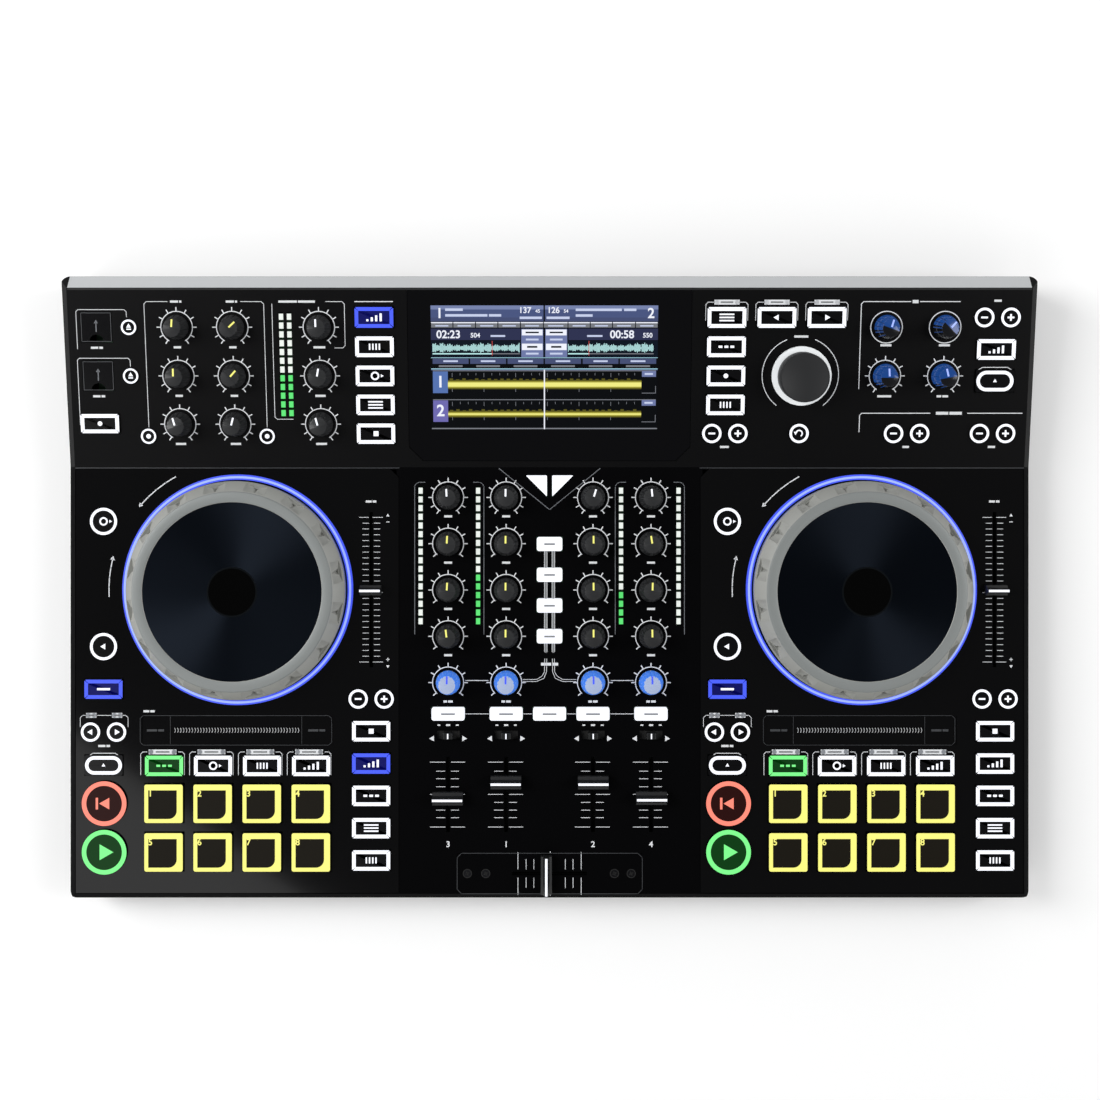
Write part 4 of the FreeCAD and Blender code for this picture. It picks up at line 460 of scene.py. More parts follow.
def keep_arc(piece, low, high):
    """Keeps what lies between two angles, in degrees clockwise from the rear."""
    choose_faces(piece, lambda at, n: not low <= math.degrees(math.atan2(at.x, at.y)) <= high)
    bpy.ops.mesh.delete(type="FACE")
    leave()
    return piece


def make_scale(name, angles, reach, inner=10.35, outer=11.0, tip=13.4):
    parts = [keep_arc(ring(name, outer, inner), -reach, reach)]
    for angle in angles:
        turn = math.radians(angle)
        middle = (outer + tip) / 2
        parts.append(card(name + "_tick", 0.75, tip - outer + 0.3, middle * math.sin(turn),
                          middle * math.cos(turn), angle=-angle))
    scale = join(name, parts)
    paint(scale, ink)
    return scale


full_scale = make_scale("full_scale", [30 * i for i in range(-4, 5)] + [-145, 145], 148)
tone_scale = make_scale("tone_scale", [30 * i for i in range(-3, 4)] + [-131, 131], 133)
plain_scale = make_scale("plain_scale", [], 181)
print("scales made")

# %% [markdown]
# Now the knobs go to their places, each on its own body, so that they turn with the joints. The six
# microphone knobs share one node on the case and stay there.

# %% Knobs in place
KNOB_ROW, KNOB_STEP = 95.6, 33.0
prints = []


def set_knob(node, kind, scale, x, y, slope=False, turn=0.0):
    stand_for(copy_at(knob_models[kind], node + "_look", x, y, 0, slope, turn), node)
    prints.append(copy_at(scale, node + "_scale", x, y, 0, slope))


TONE_ROW, TONE_STEP = 62.8, 31.75
TURNS = {("gain", "2"): -17, ("gain", "4"): 4, ("gain", "3"): 4, ("low", "3"): 8, ("mid", "4"): -3,
         ("high", "4"): 8, ("high", "3"): -2, ("mid", "3"): -2}
for row, title in enumerate(("gain", "high", "mid", "low", "fx_mix")):
    for channel, x in CHANNELS.items():
        kind = {"gain": "white", "fx_mix": "frosted"}.get(title, "yellow")
        scale = full_scale if title == "gain" else tone_scale
        set_knob(f"{title}_knob_{channel}", kind, scale, x, TONE_ROW - TONE_STEP * row,
                 turn=TURNS.get((title, channel), 0))
for row, title in enumerate(("master", "booth", "phones")):
    set_knob(f"{title}_knob", "white", full_scale, -156, KNOB_ROW - KNOB_STEP * row, True,
             turn=(4, -8, 18)[row])
for i, title in enumerate(("source", "effect", "parameter", "dry_wet")):
    set_knob(f"fx_{title}_knob", "blue", plain_scale if i < 2 else full_scale, 227.9 + 39.6 * (i % 2),
             KNOB_ROW - KNOB_STEP * (i // 2), True, turn=(-20, -45, 0, 10)[i])
mic_knobs = []
for i in range(6):
    kind = "yellow" if i < 4 else "white"
    x, y = -252.2 + 37.6 * (i % 2), KNOB_ROW - KNOB_STEP * (i // 2)
    mic_knobs.append(copy_at(knob_models[kind], "mic_knob", x, y, 0, True, (0, -45, 4, -40, 20, -12)[i]))
    prints.append(copy_at(full_scale, "mic_scale", x, y, 0, True))
gather("mic_knobs", mic_knobs, "case")
discard(*knob_models.values(), full_scale, tone_scale, plain_scale)
print("knob scales printed:", len(prints))

# %% [markdown]
# Lit keys are black plastic with a bright frame round the edge and a dark, slightly sunk window. The frame
# comes from insetting the top face, so it follows the key's outline exactly. The window's symbol is a
# separate flat piece, because the same key serves many functions.

# %% Framed keys
SHANK = 3.8


def sink_window(key, rise, lamp, rim, window):
    """Turns the top of a key into a lit frame round a slightly sunk window."""
    choose_top(key)
    bpy.ops.mesh.inset(thickness=rim * MM)
    pull(-0.3)
    leave()
    paint(key, key_black, lamp, window or key_black)
    for face in key.data.polygons:
        if face.normal.z > 0.9:
            face.material_index = 1 if face.center.z / MM > rise - 0.1 else 2
    return soften(key, 0.12, 1, 50)


def make_key(name, length, width, rise, lamp, window=None):
    """A lit key of the given size, standing on the panel with its shank below."""
    key = block(name, length, width, rise + SHANK, z=-SHANK)
    round_corners(key, 1.2, 3)
    return sink_window(key, rise, lamp, 2.6, window)


def make_round_key(name, radius, rise, lamp, rim=1.7, sides=48, window=None):
    key = drum(name, radius, rise + SHANK, z=-SHANK, sides=sides)
    return smooth(sink_window(key, rise, lamp, rim, window), 25)


def make_pill_key(name, length, width, rise, lamp):
    """A key whose lit frame has round ends, on a black oblong base."""
    base = block(name, length, width, rise + SHANK - 0.2, z=-SHANK)
    round_corners(base, 1.2, 3)
    paint(base, key_black)
    pill = block(name + "_pill", length - 1.0, width - 1.4, 0.4, z=rise - 0.4)
    round_corners(pill, (width - 1.4) / 2 - 0.05, 10)
    choose_top(pill)
    bpy.ops.mesh.inset(thickness=2.3 * MM)
    pull(-0.15)
    leave()
    paint(pill, lamp, key_black)
    for face in pill.data.polygons:
        if face.normal.z > 0.9 and face.center.z / MM < rise - 0.1:
            face.material_index = 1
    return join(name, [base, pill])


RISE = 1.3
blue_window = finish("deep blue lit window", "#05073a", 0.4, glow=0.4, glow_code="#0a0f78", specular=0.2)
green_window = finish("deep green lit window", "#021c06", 0.4, glow=0.3, glow_code="#0a5c18", specular=0.2)
red_window = finish("dark red lit window", "#140302", 0.4, glow=0.2, glow_code="#4a0c08", specular=0.2)
brown_window = finish("dark pad window", "#0e0b06", 0.5, glow=0.12, glow_code="#2a2410", specular=0.15)
key_models = {
    "white": make_key("white_key", 26.2, 14, RISE, lamp_white),
    "blue": make_key("blue_key", 26.2, 14, RISE, lamp_blue, window=blue_window),
    "green": make_key("green_key", 26.2, 14, RISE, lamp_green, window=green_window),
    "vinyl": make_key("vinyl_key", 26.2, 13.2, RISE, lamp_blue, window=blue_window),
    "record": make_key("record_key", 26.2, 13.2, RISE, lamp_white),
    "small": make_round_key("small_key", 6.6, RISE, lamp_white),
    "tiny": make_round_key("tiny_key", 5.2, RISE, lamp_white, 1.3),
    "round": make_round_key("round_key", 9.3, RISE, lamp_white, 1.9),
    "cue": make_round_key("cue_key", 15.3, 2.2, lamp_red, 3.1, 72, red_window),
    "play": make_round_key("play_key", 15.3, 2.2, lamp_green, 3.1, 72, green_window),
    "shift": make_pill_key("shift_key", 26.2, 14, RISE, lamp_white),
    "fx_shift": make_pill_key("fx_shift_key", 26.2, 15.4, RISE, lamp_white),
}
print("key models:", len(key_models))

# %% [markdown]
# The windows carry plain symbols: triangles, bars, plus and minus. Words are left out, so that the part
# stays generic. Each symbol is made once, from a few flat cards, rings and three-sided coins.

# %% Symbols
def symbol(name, parts):
    made = join(name, parts)
    made.data.materials.clear()
    return made


symbols = {
    "right": symbol("right", [coin("right", 2.3, sides=3, angle=-90)]),
    "left": symbol("left", [coin("left", 2.3, sides=3, angle=90)]),
    "play": symbol("play", [coin("play", 6.3, sides=3, angle=-90)]),
    "up": symbol("up", [coin("up", 1.5, sides=3, angle=0)]),
    "minus": symbol("minus", [card("minus", 4.6, 1.2)]),
    "plus": symbol("plus", [card("plus", 4.6, 1.2), card("plus_2", 1.2, 4.6)]),
    "bar": symbol("bar", [card("bar", 9, 1.5)]),
    "bars": symbol("bars", [card(f"bars_{i}", 2.6, 1.5, 4 * i - 4) for i in range(3)]),
    "steps": symbol("steps", [card(f"steps_{i}", 1.5, 1.4 + 1.3 * i, 3 * i - 4.5, 0.65 * i - 1.9)
                              for i in range(4)]),
    "stack": symbol("stack", [card(f"stack_{i}", 10, 1.0, 0, 2.1 * i - 2.1) for i in range(3)]),
    "loop": symbol("loop", [ring("loop", 2.9, 1.8, sides=24),
                            coin("loop_2", 1.3, 4.6, 0, sides=3, angle=-90)]),
    "dot": symbol("dot", [coin("dot", 1.6, sides=24)]),
    "stop": symbol("stop", [card("stop", 3.4, 3.4)]),
    "cue": symbol("cue", [card("cue", 1.6, 8, -5), coin("cue_2", 4.6, 1.2, 0, sides=3, angle=90)]),
    "eject": symbol("eject", [coin("eject", 1.9, 0, 0.7, sides=3), card("eject_2", 3.2, 0.8, 0, -1.3)]),
    "curl": symbol("curl", [keep_arc(ring("curl", 2.6, 1.7, sides=32), -90, 150),
                            coin("curl_2", 1.5, -2.4, 0.4, sides=3, angle=180)]),
    "quarter": symbol("quarter", [card(f"quarter_{i}", 1.0, 4.2, 2.2 * i - 3.3) for i in range(4)]),
}
print("symbols:", len(symbols))

# %% [markdown]
# A key with its symbol is placed in one call. The keys of one group share a body, so they end up in one
# object that replaces the CAD node of that group.

# %% Placing keys
def put_key(store, model, sign, x, y, slope=False, rise=RISE, lamp=None, sunk=0.3):
    store.append(copy_at(key_models[model], "key", x, y, 0, slope))
    if sign:
        mark = copy_at(symbols[sign], "key_sign", x, y, rise - sunk, slope)
        paint(mark, lamp or lamp_white)
        store.append(mark)


PAD_STEP, PAD_ROW, DECK_COLUMN = 33.6, 146.3, 91.5
deck_keys = []
for side, (jx, jy) in JOGS.items():
    for y, sign in ((46.9, "loop"), (-38.9, "left")):
        put_key(deck_keys, "round", sign, jx - 91.9, jy + y)
    for x, sign in ((-8.9, "left"), (8.9, "right")):
        put_key(deck_keys, "small", sign, jx - 91.9 + x, jy - 97.5)
    put_key(deck_keys, "cue", "cue", jx - 91.2, jy - PAD_ROW, rise=2.2, lamp=lamp_red)
    put_key(deck_keys, "play", "play", jx - 91.2, jy - 179.6, rise=2.2, lamp=lamp_green)
    for x, sign in ((-8.9, "minus"), (8.9, "plus")):
        put_key(deck_keys, "small", sign, jx + DECK_COLUMN + x, jy - 74.8)
    put_key(deck_keys, "vinyl", "bar", jx - 91.9, jy - 68.1)
    put_key(deck_keys, "shift", "up", jx - 91.9, jy - 120.3, sunk=0.15)
    for i, sign in enumerate(("stop", "steps", "bars", "stack", "quarter")):
        kind = "blue" if i == 1 and side == "left" else "white"
        put_key(deck_keys, kind, sign, jx + DECK_COLUMN, jy - 96.9 - 22.13 * i)
    for i, sign in enumerate(("bars", "loop", "quarter", "steps")):
        put_key(deck_keys, "green" if i == 0 else "white", sign, jx + (i - 1.5) * PAD_STEP, jy - 120.6,
                lamp=lamp_green if i == 0 else None)
deck_set = gather("deck_buttons", deck_keys)
print("deck key faces:", len(deck_set.data.polygons))

# %% [markdown]
# The pads have a wide yellow frame whose window has one large round corner, towards the player's right.
# Only one corner of the window is beveled, as a vertex, and the number sits in the opposite corner.

# %% Pads
def number(name, text, size, x=0, y=0, z=PRINT):
    """Digits as a flat mesh, centred on x and y."""
    clear()
    bpy.ops.object.text_add(location=(x * MM, y * MM, z * MM))
    words = bpy.context.object
    words.data.body = text
    words.data.size = size * MM
    words.data.align_x = "CENTER"
    words.data.align_y = "CENTER"
    words.data.offset = 0.02 * size * MM
    bpy.ops.object.convert(target="MESH")
    return settle(name)


pad_model = block("pad_model", 26.4, 26.4, 2.6 + SHANK, z=-SHANK)
round_corners(pad_model, 1.4, 3)
soften(pad_model, 0.2, 2, 50)
paint(pad_model, key_black, lamp_yellow)
for face in pad_model.data.polygons:
    face.material_index = 1 if face.normal.z > 0.5 else 0
pad_window = card("pad_window", 19.5, 19.6, -0.7, -0.6, 2.66)
choose(pad_window, "VERT", lambda corner: corner.co.x > 0 and corner.co.y < 0)
bpy.ops.mesh.bevel(offset=5.6 * MM, segments=8, affect="VERTICES")
leave()
paint(pad_window, brown_window)
pads = []
for side, (jx, jy) in JOGS.items():
    for i in range(8):
        x, y = jx + (i % 4 - 1.5) * PAD_STEP, jy - PAD_ROW - (i // 4) * 33.3
        pads += [copy_at(pad_model, "pad", x, y), copy_at(pad_window, "pad_window", x, y)]
        digit = number("pad_number", str(i + 1), 6.0, -9.0, 6.9, 2.75)
        pads.append(copy_at(digit, "pad_digit", x, y))
        paint(pads[-1], lamp_yellow)
        discard(digit)
discard(pad_model, pad_window)
pad_set = gather("pads", pads)
print("pad faces:", len(pad_set.data.polygons))

# %% [markdown]
# The jog wheel is the showpiece. Its outline is drawn by extruding one round face step by step: wall,
# sloping rim, flat lip, sunk disc. Sixteen finger scallops are cut into the rim with a large drum laid
# along its slope, and each scallop has a narrow nick in its middle, as on the cast rim in the photo.

# %% Jog wheel
rim_grey = grain(finish("cast grey jog rim", "#a6a7a3", 0.5, metal=0.25), 1200, 0.4)
lip_grey = finish("satin grey jog lip", "#858988", 0.5, metal=0.2)
platter = finish("brushed blue-black jog disc", "#141a23", 0.3, metal=0.9)
hub_black = finish("gloss black jog hub", "#010101", 0.08, specular=0.2)
hub_edge = finish("polished hub edge", "#3c4248", 0.15, metal=1.0)
ROUND = 160
wheel = drum("jog_model", 73.9, 1, z=-4, sides=ROUND)
choose_top(wheel)
old_z, old_radius = -3, 73.9
for z, radius in ((7.6, 74.3), (8.6, 74.6), (9.2, 74.3), (10.0, 73.8), (19.2, 67.7), (19.8, 67.1),
                  (20.0, 66.3), (20.0, 61.2), (19.8, 60.7), (19.4, 60.4)):
    pull(z - old_z)
    ratio = radius / old_radius
    bpy.ops.transform.resize(value=(ratio, ratio, 1), center_override=(0, 0, z * MM))
    old_z, old_radius = z, radius
leave()


# The rim's slope runs from radius 73.8 at height 10 up to 67.7 at 19.2
RIM_TILT = math.atan2(9.2, 6.1)
OUT = Vector((math.sin(RIM_TILT), 0, math.cos(RIM_TILT)))


def along_rim(piece, lift):
    """Lays a cutter that stands upright along the rim's slope, raised off it by a distance."""
    place = Vector((70.9, 0, 14.2)) + OUT * lift
    piece.data.transform(Matrix.Translation(place * MM) @ Matrix.Rotation(RIM_TILT - math.pi / 2, 4, "Y"))
    return piece


def cut_round(base, cutter, count, name):
    """Cuts copies of one cutter out of the rim, spaced evenly."""
    copies = [copy_at(cutter, name, 0, 0) for _ in range(count)]
    for i, piece in enumerate(copies):
        piece.data.transform(LEVEL.inverted())
        piece.data.transform(Matrix.Rotation(2 * math.pi * (i + 0.47) / count, 4, "Z"))
    tools = join(name, copies)
    pick(base)
    cutting = base.modifiers.new(name, "BOOLEAN")
    cutting.object = tools
    bpy.ops.object.modifier_apply(modifier=name)
    discard(tools, cutter)


scoop = along_rim(drum("scoop", 15, 9.6, z=-4.8, sides=72), 15 - 2.2)
cut_round(wheel, scoop, 16, "scoops")
bpy.ops.mesh.primitive_cone_add(vertices=4, radius1=2.7 * MM, radius2=0.15 * MM, depth=8.4 * MM)
nick = along_rim(bpy.context.active_object, -1.6)
cut_round(wheel, nick, 16, "nicks")
smooth(wheel, 28)
paint(wheel, rim_grey, lip_grey)
for face in wheel.data.polygons:
    if face.center.z / MM > 19.3 and face.normal.z > 0.6:
        face.material_index = 1
print("wheel faces:", len(wheel.data.polygons))

# %% [markdown]
# The disc on top is brushed round its middle, so it shows a fan of light that turns with the lamps. That
# comes from an anisotropic finish with a radial tangent, not from paint. The hub is a gloss black button
# with a thin bright edge.

# %% Jog disc and hub
shader = platter.node_tree.nodes["Principled BSDF"]
shader.inputs["Anisotropic"].default_value = 0.85
round_way = add_node(platter, "ShaderNodeTangent", direction_type="RADIAL", axis="Z")
platter.node_tree.links.new(round_way.outputs["Tangent"], shader.inputs["Tangent"])
for side, (jx, jy) in JOGS.items():
    disc = coin("jog_disc", 60.6, jx, jy, DECK + 19.42, sides=160)
    choose_faces(disc)
    bpy.ops.mesh.inset(thickness=43.6 * MM)
    bpy.ops.mesh.delete(type="FACE")
    leave()
    paint(disc, platter)
    hub = drum("jog_hub", 16.4, 0.2, jx, jy, DECK + 19.3, 96)
    choose_top(hub)
    bpy.ops.mesh.inset(thickness=0.5 * MM)
    leave()
    paint(hub, hub_edge, hub_black)
    for face in hub.data.polygons:
        if face.normal.z > 0.9 and len(face.vertices) > 10:
            face.material_index = 1
    seat = ring("jog_seat", 17.2, 16.2, DECK + 19.41, 96)
    seat.data.transform(Matrix.Translation((jx * MM, jy * MM, 0)))
    paint(seat, hub_edge)
    body = copy_at(wheel, f"jog_{side}_rim", jx, jy)
    for piece in (body, disc, hub, seat):
        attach(piece, f"jog_wheel_{side}_body")
    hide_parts(f"jog_wheel_{side}")
discard(wheel)
print("jog wheels placed")

# %% [markdown]
# A clear ring round each wheel carries blue light. It has a pale core between two deep blue edges, which
# is how a light guide looks from above. The same node holds the bars of the level meters, so the ring and
# the meter lamps together stand for it.

# %% Light rings and level meters
ring_parts = []
for side, (jx, jy) in JOGS.items():
    for outer, inner, height, lamp in ((79.0, 77.9, 1.3, lamp_blue), (77.9, 76.4, 1.6, lamp_pale_blue),
                                       (76.4, 75.4, 1.3, lamp_blue)):
        band = ring("light_band", outer, inner, height, 160)
        thicken(band, 2.2)
        paint(band, lamp)
        ring_parts.append(copy_at(band, "light_band", jx, jy))
        discard(band)
segment = block("segment", 2.8, 4.1, 1.2, z=-1.15)
for x, green in ((-88.5, 0), (-49.05, 6), (49.05, 4), (88.5, 0)):
    for i in range(16):
        lamp = copy_at(segment, "segment", x, 67.4 - 5.97 * i)
        paint(lamp, meter_green if 15 - i < green else meter_white)
        ring_parts.append(lamp)
for x in (-181.5, -176.1):
    for i in range(12):
        lamp = copy_at(segment, "segment", x, 102.6 - 5.95 * i, 0, True)
        paint(lamp, meter_green if i > 6 else meter_white)
        ring_parts.append(lamp)
discard(segment)
guides = gather("light_guides", ring_parts, "case")
print("lamp faces:", len(guides.data.polygons))

# %% [markdown]
# Fader caps have concave flanks that rise to a narrow ridge with a painted line. A block whose top is
# extruded twice and squeezed gives that section, and the line is a thin card laid over ridge and ends.

# %% Fader caps
cap_black = grain(finish("satin black fader cap", "#151617", 0.4, specular=0.4), 1500, 0.2)


def make_cap(name, length, width, line=1.6):
    """A cap that lies across its travel, which runs along y."""
    cap = block(name, length, width, 4.2, z=1)
    choose_top(cap)
    old_z, size = 5.2, width
    for z, new in ((6.4, 0.55 * width), (8.2, 0.38 * width), (10.5, 2.2)):
        pull(z - old_z)
        bpy.ops.transform.resize(value=(1, new / size, 1), center_override=(0, 0, z * MM))
        old_z, size = z, new
    leave()
    soften(cap, 0.3, 2, 30)
    smooth(cap, 40)
    paint(cap, cap_black)
    # The cap's printed line and ends take the lit legend finish, a painted glow.
    stripe = paint(block(name + "_line", length - 0.5, line, 0.3, z=10.24), lamp_white)
    ends = [paint(block(name + "_end", 0.16, line, 8.6, x=side * (length / 2 - 0.1), z=1.6), lamp_white)
            for side in (1, -1)]
    stem = paint(block(name + "_stem", 1.2, 4, 8, z=-6.8), steel)
    return join(name, [cap, stripe, *ends, stem])


CROSS_ROW, FADER_ROW, ASSIGN_ROW, CUE_ROW = -195.2, -141, -100.4, -85.7
channel_cap = make_cap("channel_cap", 21, 9)
cross_cap = make_cap("cross_cap", 26, 7.7)
pitch_cap = make_cap("pitch_cap", 14.5, 7)
for channel, rest in (("3", -2), ("1", 9), ("2", 9), ("4", -1.6)):
    cap = copy_at(channel_cap, f"channel_{channel}_cap", CHANNELS[channel], FADER_ROW + rest)
    stand_for(cap, f"channel_fader_{channel}")
cap = copy_at(cross_cap, "crossfader_cap", -2.2, CROSS_ROW, turn=90)
stand_for(cap, "crossfader")
for side, (jx, jy) in JOGS.items():
    cap = copy_at(pitch_cap, f"pitch_{side}_cap", jx + DECK_COLUMN, jy)
    stand_for(cap, f"pitch_fader_{side}")
discard(channel_cap, cross_cap, pitch_cap)
print("fader caps placed: 7")

# %% [markdown]
# The mixer's keys are lit all over: four effect keys, five cue keys and two triangular layer keys. They
# are plain blocks with soft edges. The assign switches are small levers with a line in a dark slot.

# %% Mixer keys and assign switches
pipe_grey = finish("grey print on lit keys", "#8e9094", 0.5)


def make_lit_key(name, length, width, corner):
    key = block(name, length, width, RISE + SHANK, z=-SHANK)
    round_corners(key, corner, 4)
    soften(key, 0.25, 2, 50)
    paint(key, lamp_white)
    smooth(key, 40)
    bar = paint(block(name + "_label", length * 0.42, 1.3, 0.1, z=RISE - 0.06), pipe_grey)
    return join(name, [key, bar])


fast_key = make_lit_key("fast_key", 17.5, 9.5, 1.6)
cue_key = make_lit_key("cue_key", 22.6, 8.9, 1.6)
mixer_keys = [copy_at(fast_key, "fast_key", 0, 30.8 - 21.1 * i) for i in range(4)]
mixer_keys += [copy_at(cue_key, "cue_key", x, CUE_ROW) for x in (0, *CHANNELS.values())]
for sign in (-1, 1):
    wedge = coin("layer_key", 8, sides=3)
    for point, place in zip(wedge.data.vertices, ((1.8, 77.9), (16.3, 77.9), (1.8, 63.4))):
        point.co = Vector((sign * place[0] * MM, place[1] * MM, (DECK + RISE) * MM))
    thicken(wedge, 5)
    round_corners(wedge, 0.7, 3)
    soften(wedge, 0.2, 2, 50)
    paint(wedge, lamp_white)
    mixer_keys.append(wedge)
gather("mixer_buttons", mixer_keys)
lever = block("lever", 6.4, 4.2, 4.5 + 2.8, z=-2.8)
soften(lever, 0.5, 2, 50)
paint(lever, cap_black)
# The lever's printed line also has a painted glow from the lit legend finish.
notch = paint(block("lever_line", 0.9, 3.6, 0.2, z=4.32), lamp_white)
lever = join("lever", [lever, notch])
slider = paint(block("slider", 23, 8.4, 1.2, z=-4), inner_black)
levers = []
for x in CHANNELS.values():
    levers += [copy_at(lever, "lever", x, ASSIGN_ROW), copy_at(slider, "slider", x, ASSIGN_ROW)]
gather("assign_switches", levers)
discard(fast_key, cue_key, lever, slider)
print("mixer keys and levers placed")

# %% [markdown]
# The keys of the rear part repeat the framed keys of the decks, on the tilted plane. One of the source
# keys is lit blue, to show what is chosen.

# %% Rear keys and the browser knob
ROW, ROW_STEP, NAVIGATE = 102.2, 19.75, (170.4, 63)
rear_keys = []
for i, sign in enumerate(("steps", "quarter", "loop", "stack", "stop")):
    put_key(rear_keys, "blue" if i == 0 else "white", sign, -118.5, ROW - ROW_STEP * i, True)
for i, sign in enumerate(("stack", "left", "right")):
    put_key(rear_keys, "white", sign, 119.7 + 33.75 * i, ROW, True)
for i, sign in enumerate(("bars", "dot", "quarter")):
    put_key(rear_keys, "white", sign, 119.7, ROW - ROW_STEP * (i + 1), True)
put_key(rear_keys, "record", "dot", -306.7, 30.1, True)
put_key(rear_keys, "white", "steps", 302.5, 80.6, True)
put_key(rear_keys, "fx_shift", "up", 302.5, 59.2, True, sunk=0.15)
for y in (KNOB_ROW, KNOB_ROW - KNOB_STEP):
    put_key(rear_keys, "tiny", "eject", -284.4, y, True)
for x in (-273.9, -192.9):
    put_key(rear_keys, "tiny", "dot", x, 21.4, True)
put_key(rear_keys, "small", "curl", NAVIGATE[0], 23.3, True)
for centre, y in ((119.7, 23.3), (243.8, 23.3), (302.5, 23.3), (302.5, ROW)):
    put_key(rear_keys, "small", "minus", centre - 8.9, y, True)
    put_key(rear_keys, "small", "plus", centre + 8.9, y, True)
gather("panel_buttons", rear_keys)
discard(*key_models.values())
# The silver skirt has a painted glow that brightens it; it holds no lamp.
silver = finish("silver browser skirt with painted glow", "#d9dcde", 0.25, glow=0.35, glow_code="#d9dcde")
skirt = drum("navigate_skirt", 20, 4.5, z=2.4, sides=72)
choose_faces(skirt, lambda at, n: abs(n.z) < 0.5 and round(math.degrees(math.atan2(at.y, at.x)) / 5) % 3 == 0)
bpy.ops.mesh.inset(thickness=0.15 * MM, use_individual=True)
bpy.ops.transform.shrink_fatten(value=-0.5 * MM)
leave()
smooth(soften(skirt, 0.5, 2, 40), 40)
paint(skirt, silver)
stem = paint(drum("navigate_stem", 3, 19, z=-6, sides=32), steel)
skirt = join("navigate_shaft_look", [skirt, stem])
skirt.data.transform(spot(*NAVIGATE, 0, True))
stand_for(skirt, "navigate_shaft")
cap = drum("navigate_cap", 16.6, 12, z=7.2, sides=96)
choose_top(cap)
bpy.ops.mesh.inset(thickness=1.2 * MM)
bpy.ops.mesh.inset(thickness=0.8 * MM, depth=-0.5 * MM)
leave()
smooth(soften(cap, 0.4, 3, 35), 40)
paint(cap, knob_grip)
cap.data.transform(spot(*NAVIGATE, 0, True))
stand_for(cap, "navigate_knob")
print("rear keys placed")

# %% [markdown]
# Print is laid on the panels as thin flat cards a few hundredths of a millimetre up. Lines are cards
# turned to their direction. Where the real controller has a word, a short row of plain bars stands in.

# %% Print helpers
oblong = card("oblong_model", 1, 1, z=0)
round_end = coin("round_model", 1, z=0, sides=20)
triangle = coin("triangle_model", 1, z=0, sides=3, angle=-90)


def lay(store, model, look, length, width, x, y, z=PRINT, angle=0, slope=False):
    """Lays a sized copy of a flat model on the level part or on the rear part."""
    piece = model.copy()
    piece.data = model.data.copy()
    bpy.context.scene.collection.objects.link(piece)
    piece.data.transform(spot(x, y, z, slope, angle) @ Matrix.Diagonal((length, width, 1, 1)))
    piece.data.materials.clear()
    paint(piece, look)
    store.append(piece)


def mark(x0, y0, x1, y1, width=0.35, slope=False, look=None, z=PRINT):
    """A straight printed line between two places."""
    lay(prints, oblong, look or ink, math.hypot(x1 - x0, y1 - y0) + width, width, (x0 + x1) / 2,
        (y0 + y1) / 2, z, math.degrees(math.atan2(y1 - y0, x1 - x0)), slope)


def path(points, width=0.35, slope=False, look=None, z=PRINT):
    for (x0, y0), (x1, y1) in zip(points, points[1:]):
        mark(x0, y0, x1, y1, width, slope, look, z)


def arc(x, y, radius, low, high, width=0.35, slope=False, look=None, z=PRINT, steps=None):
    """A printed arc between two angles, in degrees from the right, counter-clockwise."""
    steps = steps or max(4, int(abs(high - low) / 7))
    turns = [math.radians(low + (high - low) * i / steps) for i in range(steps + 1)]
    path([(x + radius * math.cos(t), y + radius * math.sin(t)) for t in turns], width, slope, look, z)


groove = finish("plate groove grey", "#3a3c3f", 0.4)
pipe = finish("pipe grey print", "#7c7e80", 0.4)
# Like the white ink, this ink has a faint painted glow.
label_ink = finish("pale label ink", "#d2d4d6", 0.6, glow=0.12)


def words(x, y, lengths=(3.2, 2.2), slope=False, look=None, height=1.5, gap=0.7):
    """A row of bars in the place of a printed word."""
    at = x - (sum(lengths) + gap * (len(lengths) - 1)) / 2
    for length in lengths:
        mark(at + height / 2, y, at + length - height / 2, y, height, slope, look or label_ink)
        at += length + gap


def box_line(x0, y0, x1, y1, width, c):
    """A grey frame with cut corners."""
    path([(x0 + c, y0), (x1 - c, y0), (x1, y0 + c), (x1, y1 - c), (x1 - c, y1), (x0 + c, y1),
          (x0, y1 - c), (x0, y0 + c), (x0 + c, y0)], width, look=groove)


def tab(x, y, length=20, height=3.3, slope=False):
    """A small white rounded tab, on which the real panel prints a word in black."""
    mark(x - (length - height) / 2, y, x + (length - height) / 2, y, height, slope, ink)
    for end in (-1, 1):
        lay(prints, round_end, ink, height / 2, height / 2, x + end * (length - height) / 2, y,
            slope=slope)
    lay(prints, oblong, pipe, length * 0.5, 1.1, x, y, PRINT + 0.03, slope=slope)


def wedge(x, y, size, angle):
    """A small printed triangle that points at an angle."""
    lay(prints, triangle, ink, size, size, x, y, angle=angle)


print("print helpers ready")

# %% [markdown]
# Both decks carry the same print, measured from the jog wheel: arrows along the wheel, the tempo scale,
# brackets over the keys, and the frame of the touch strip with its fine ruler.

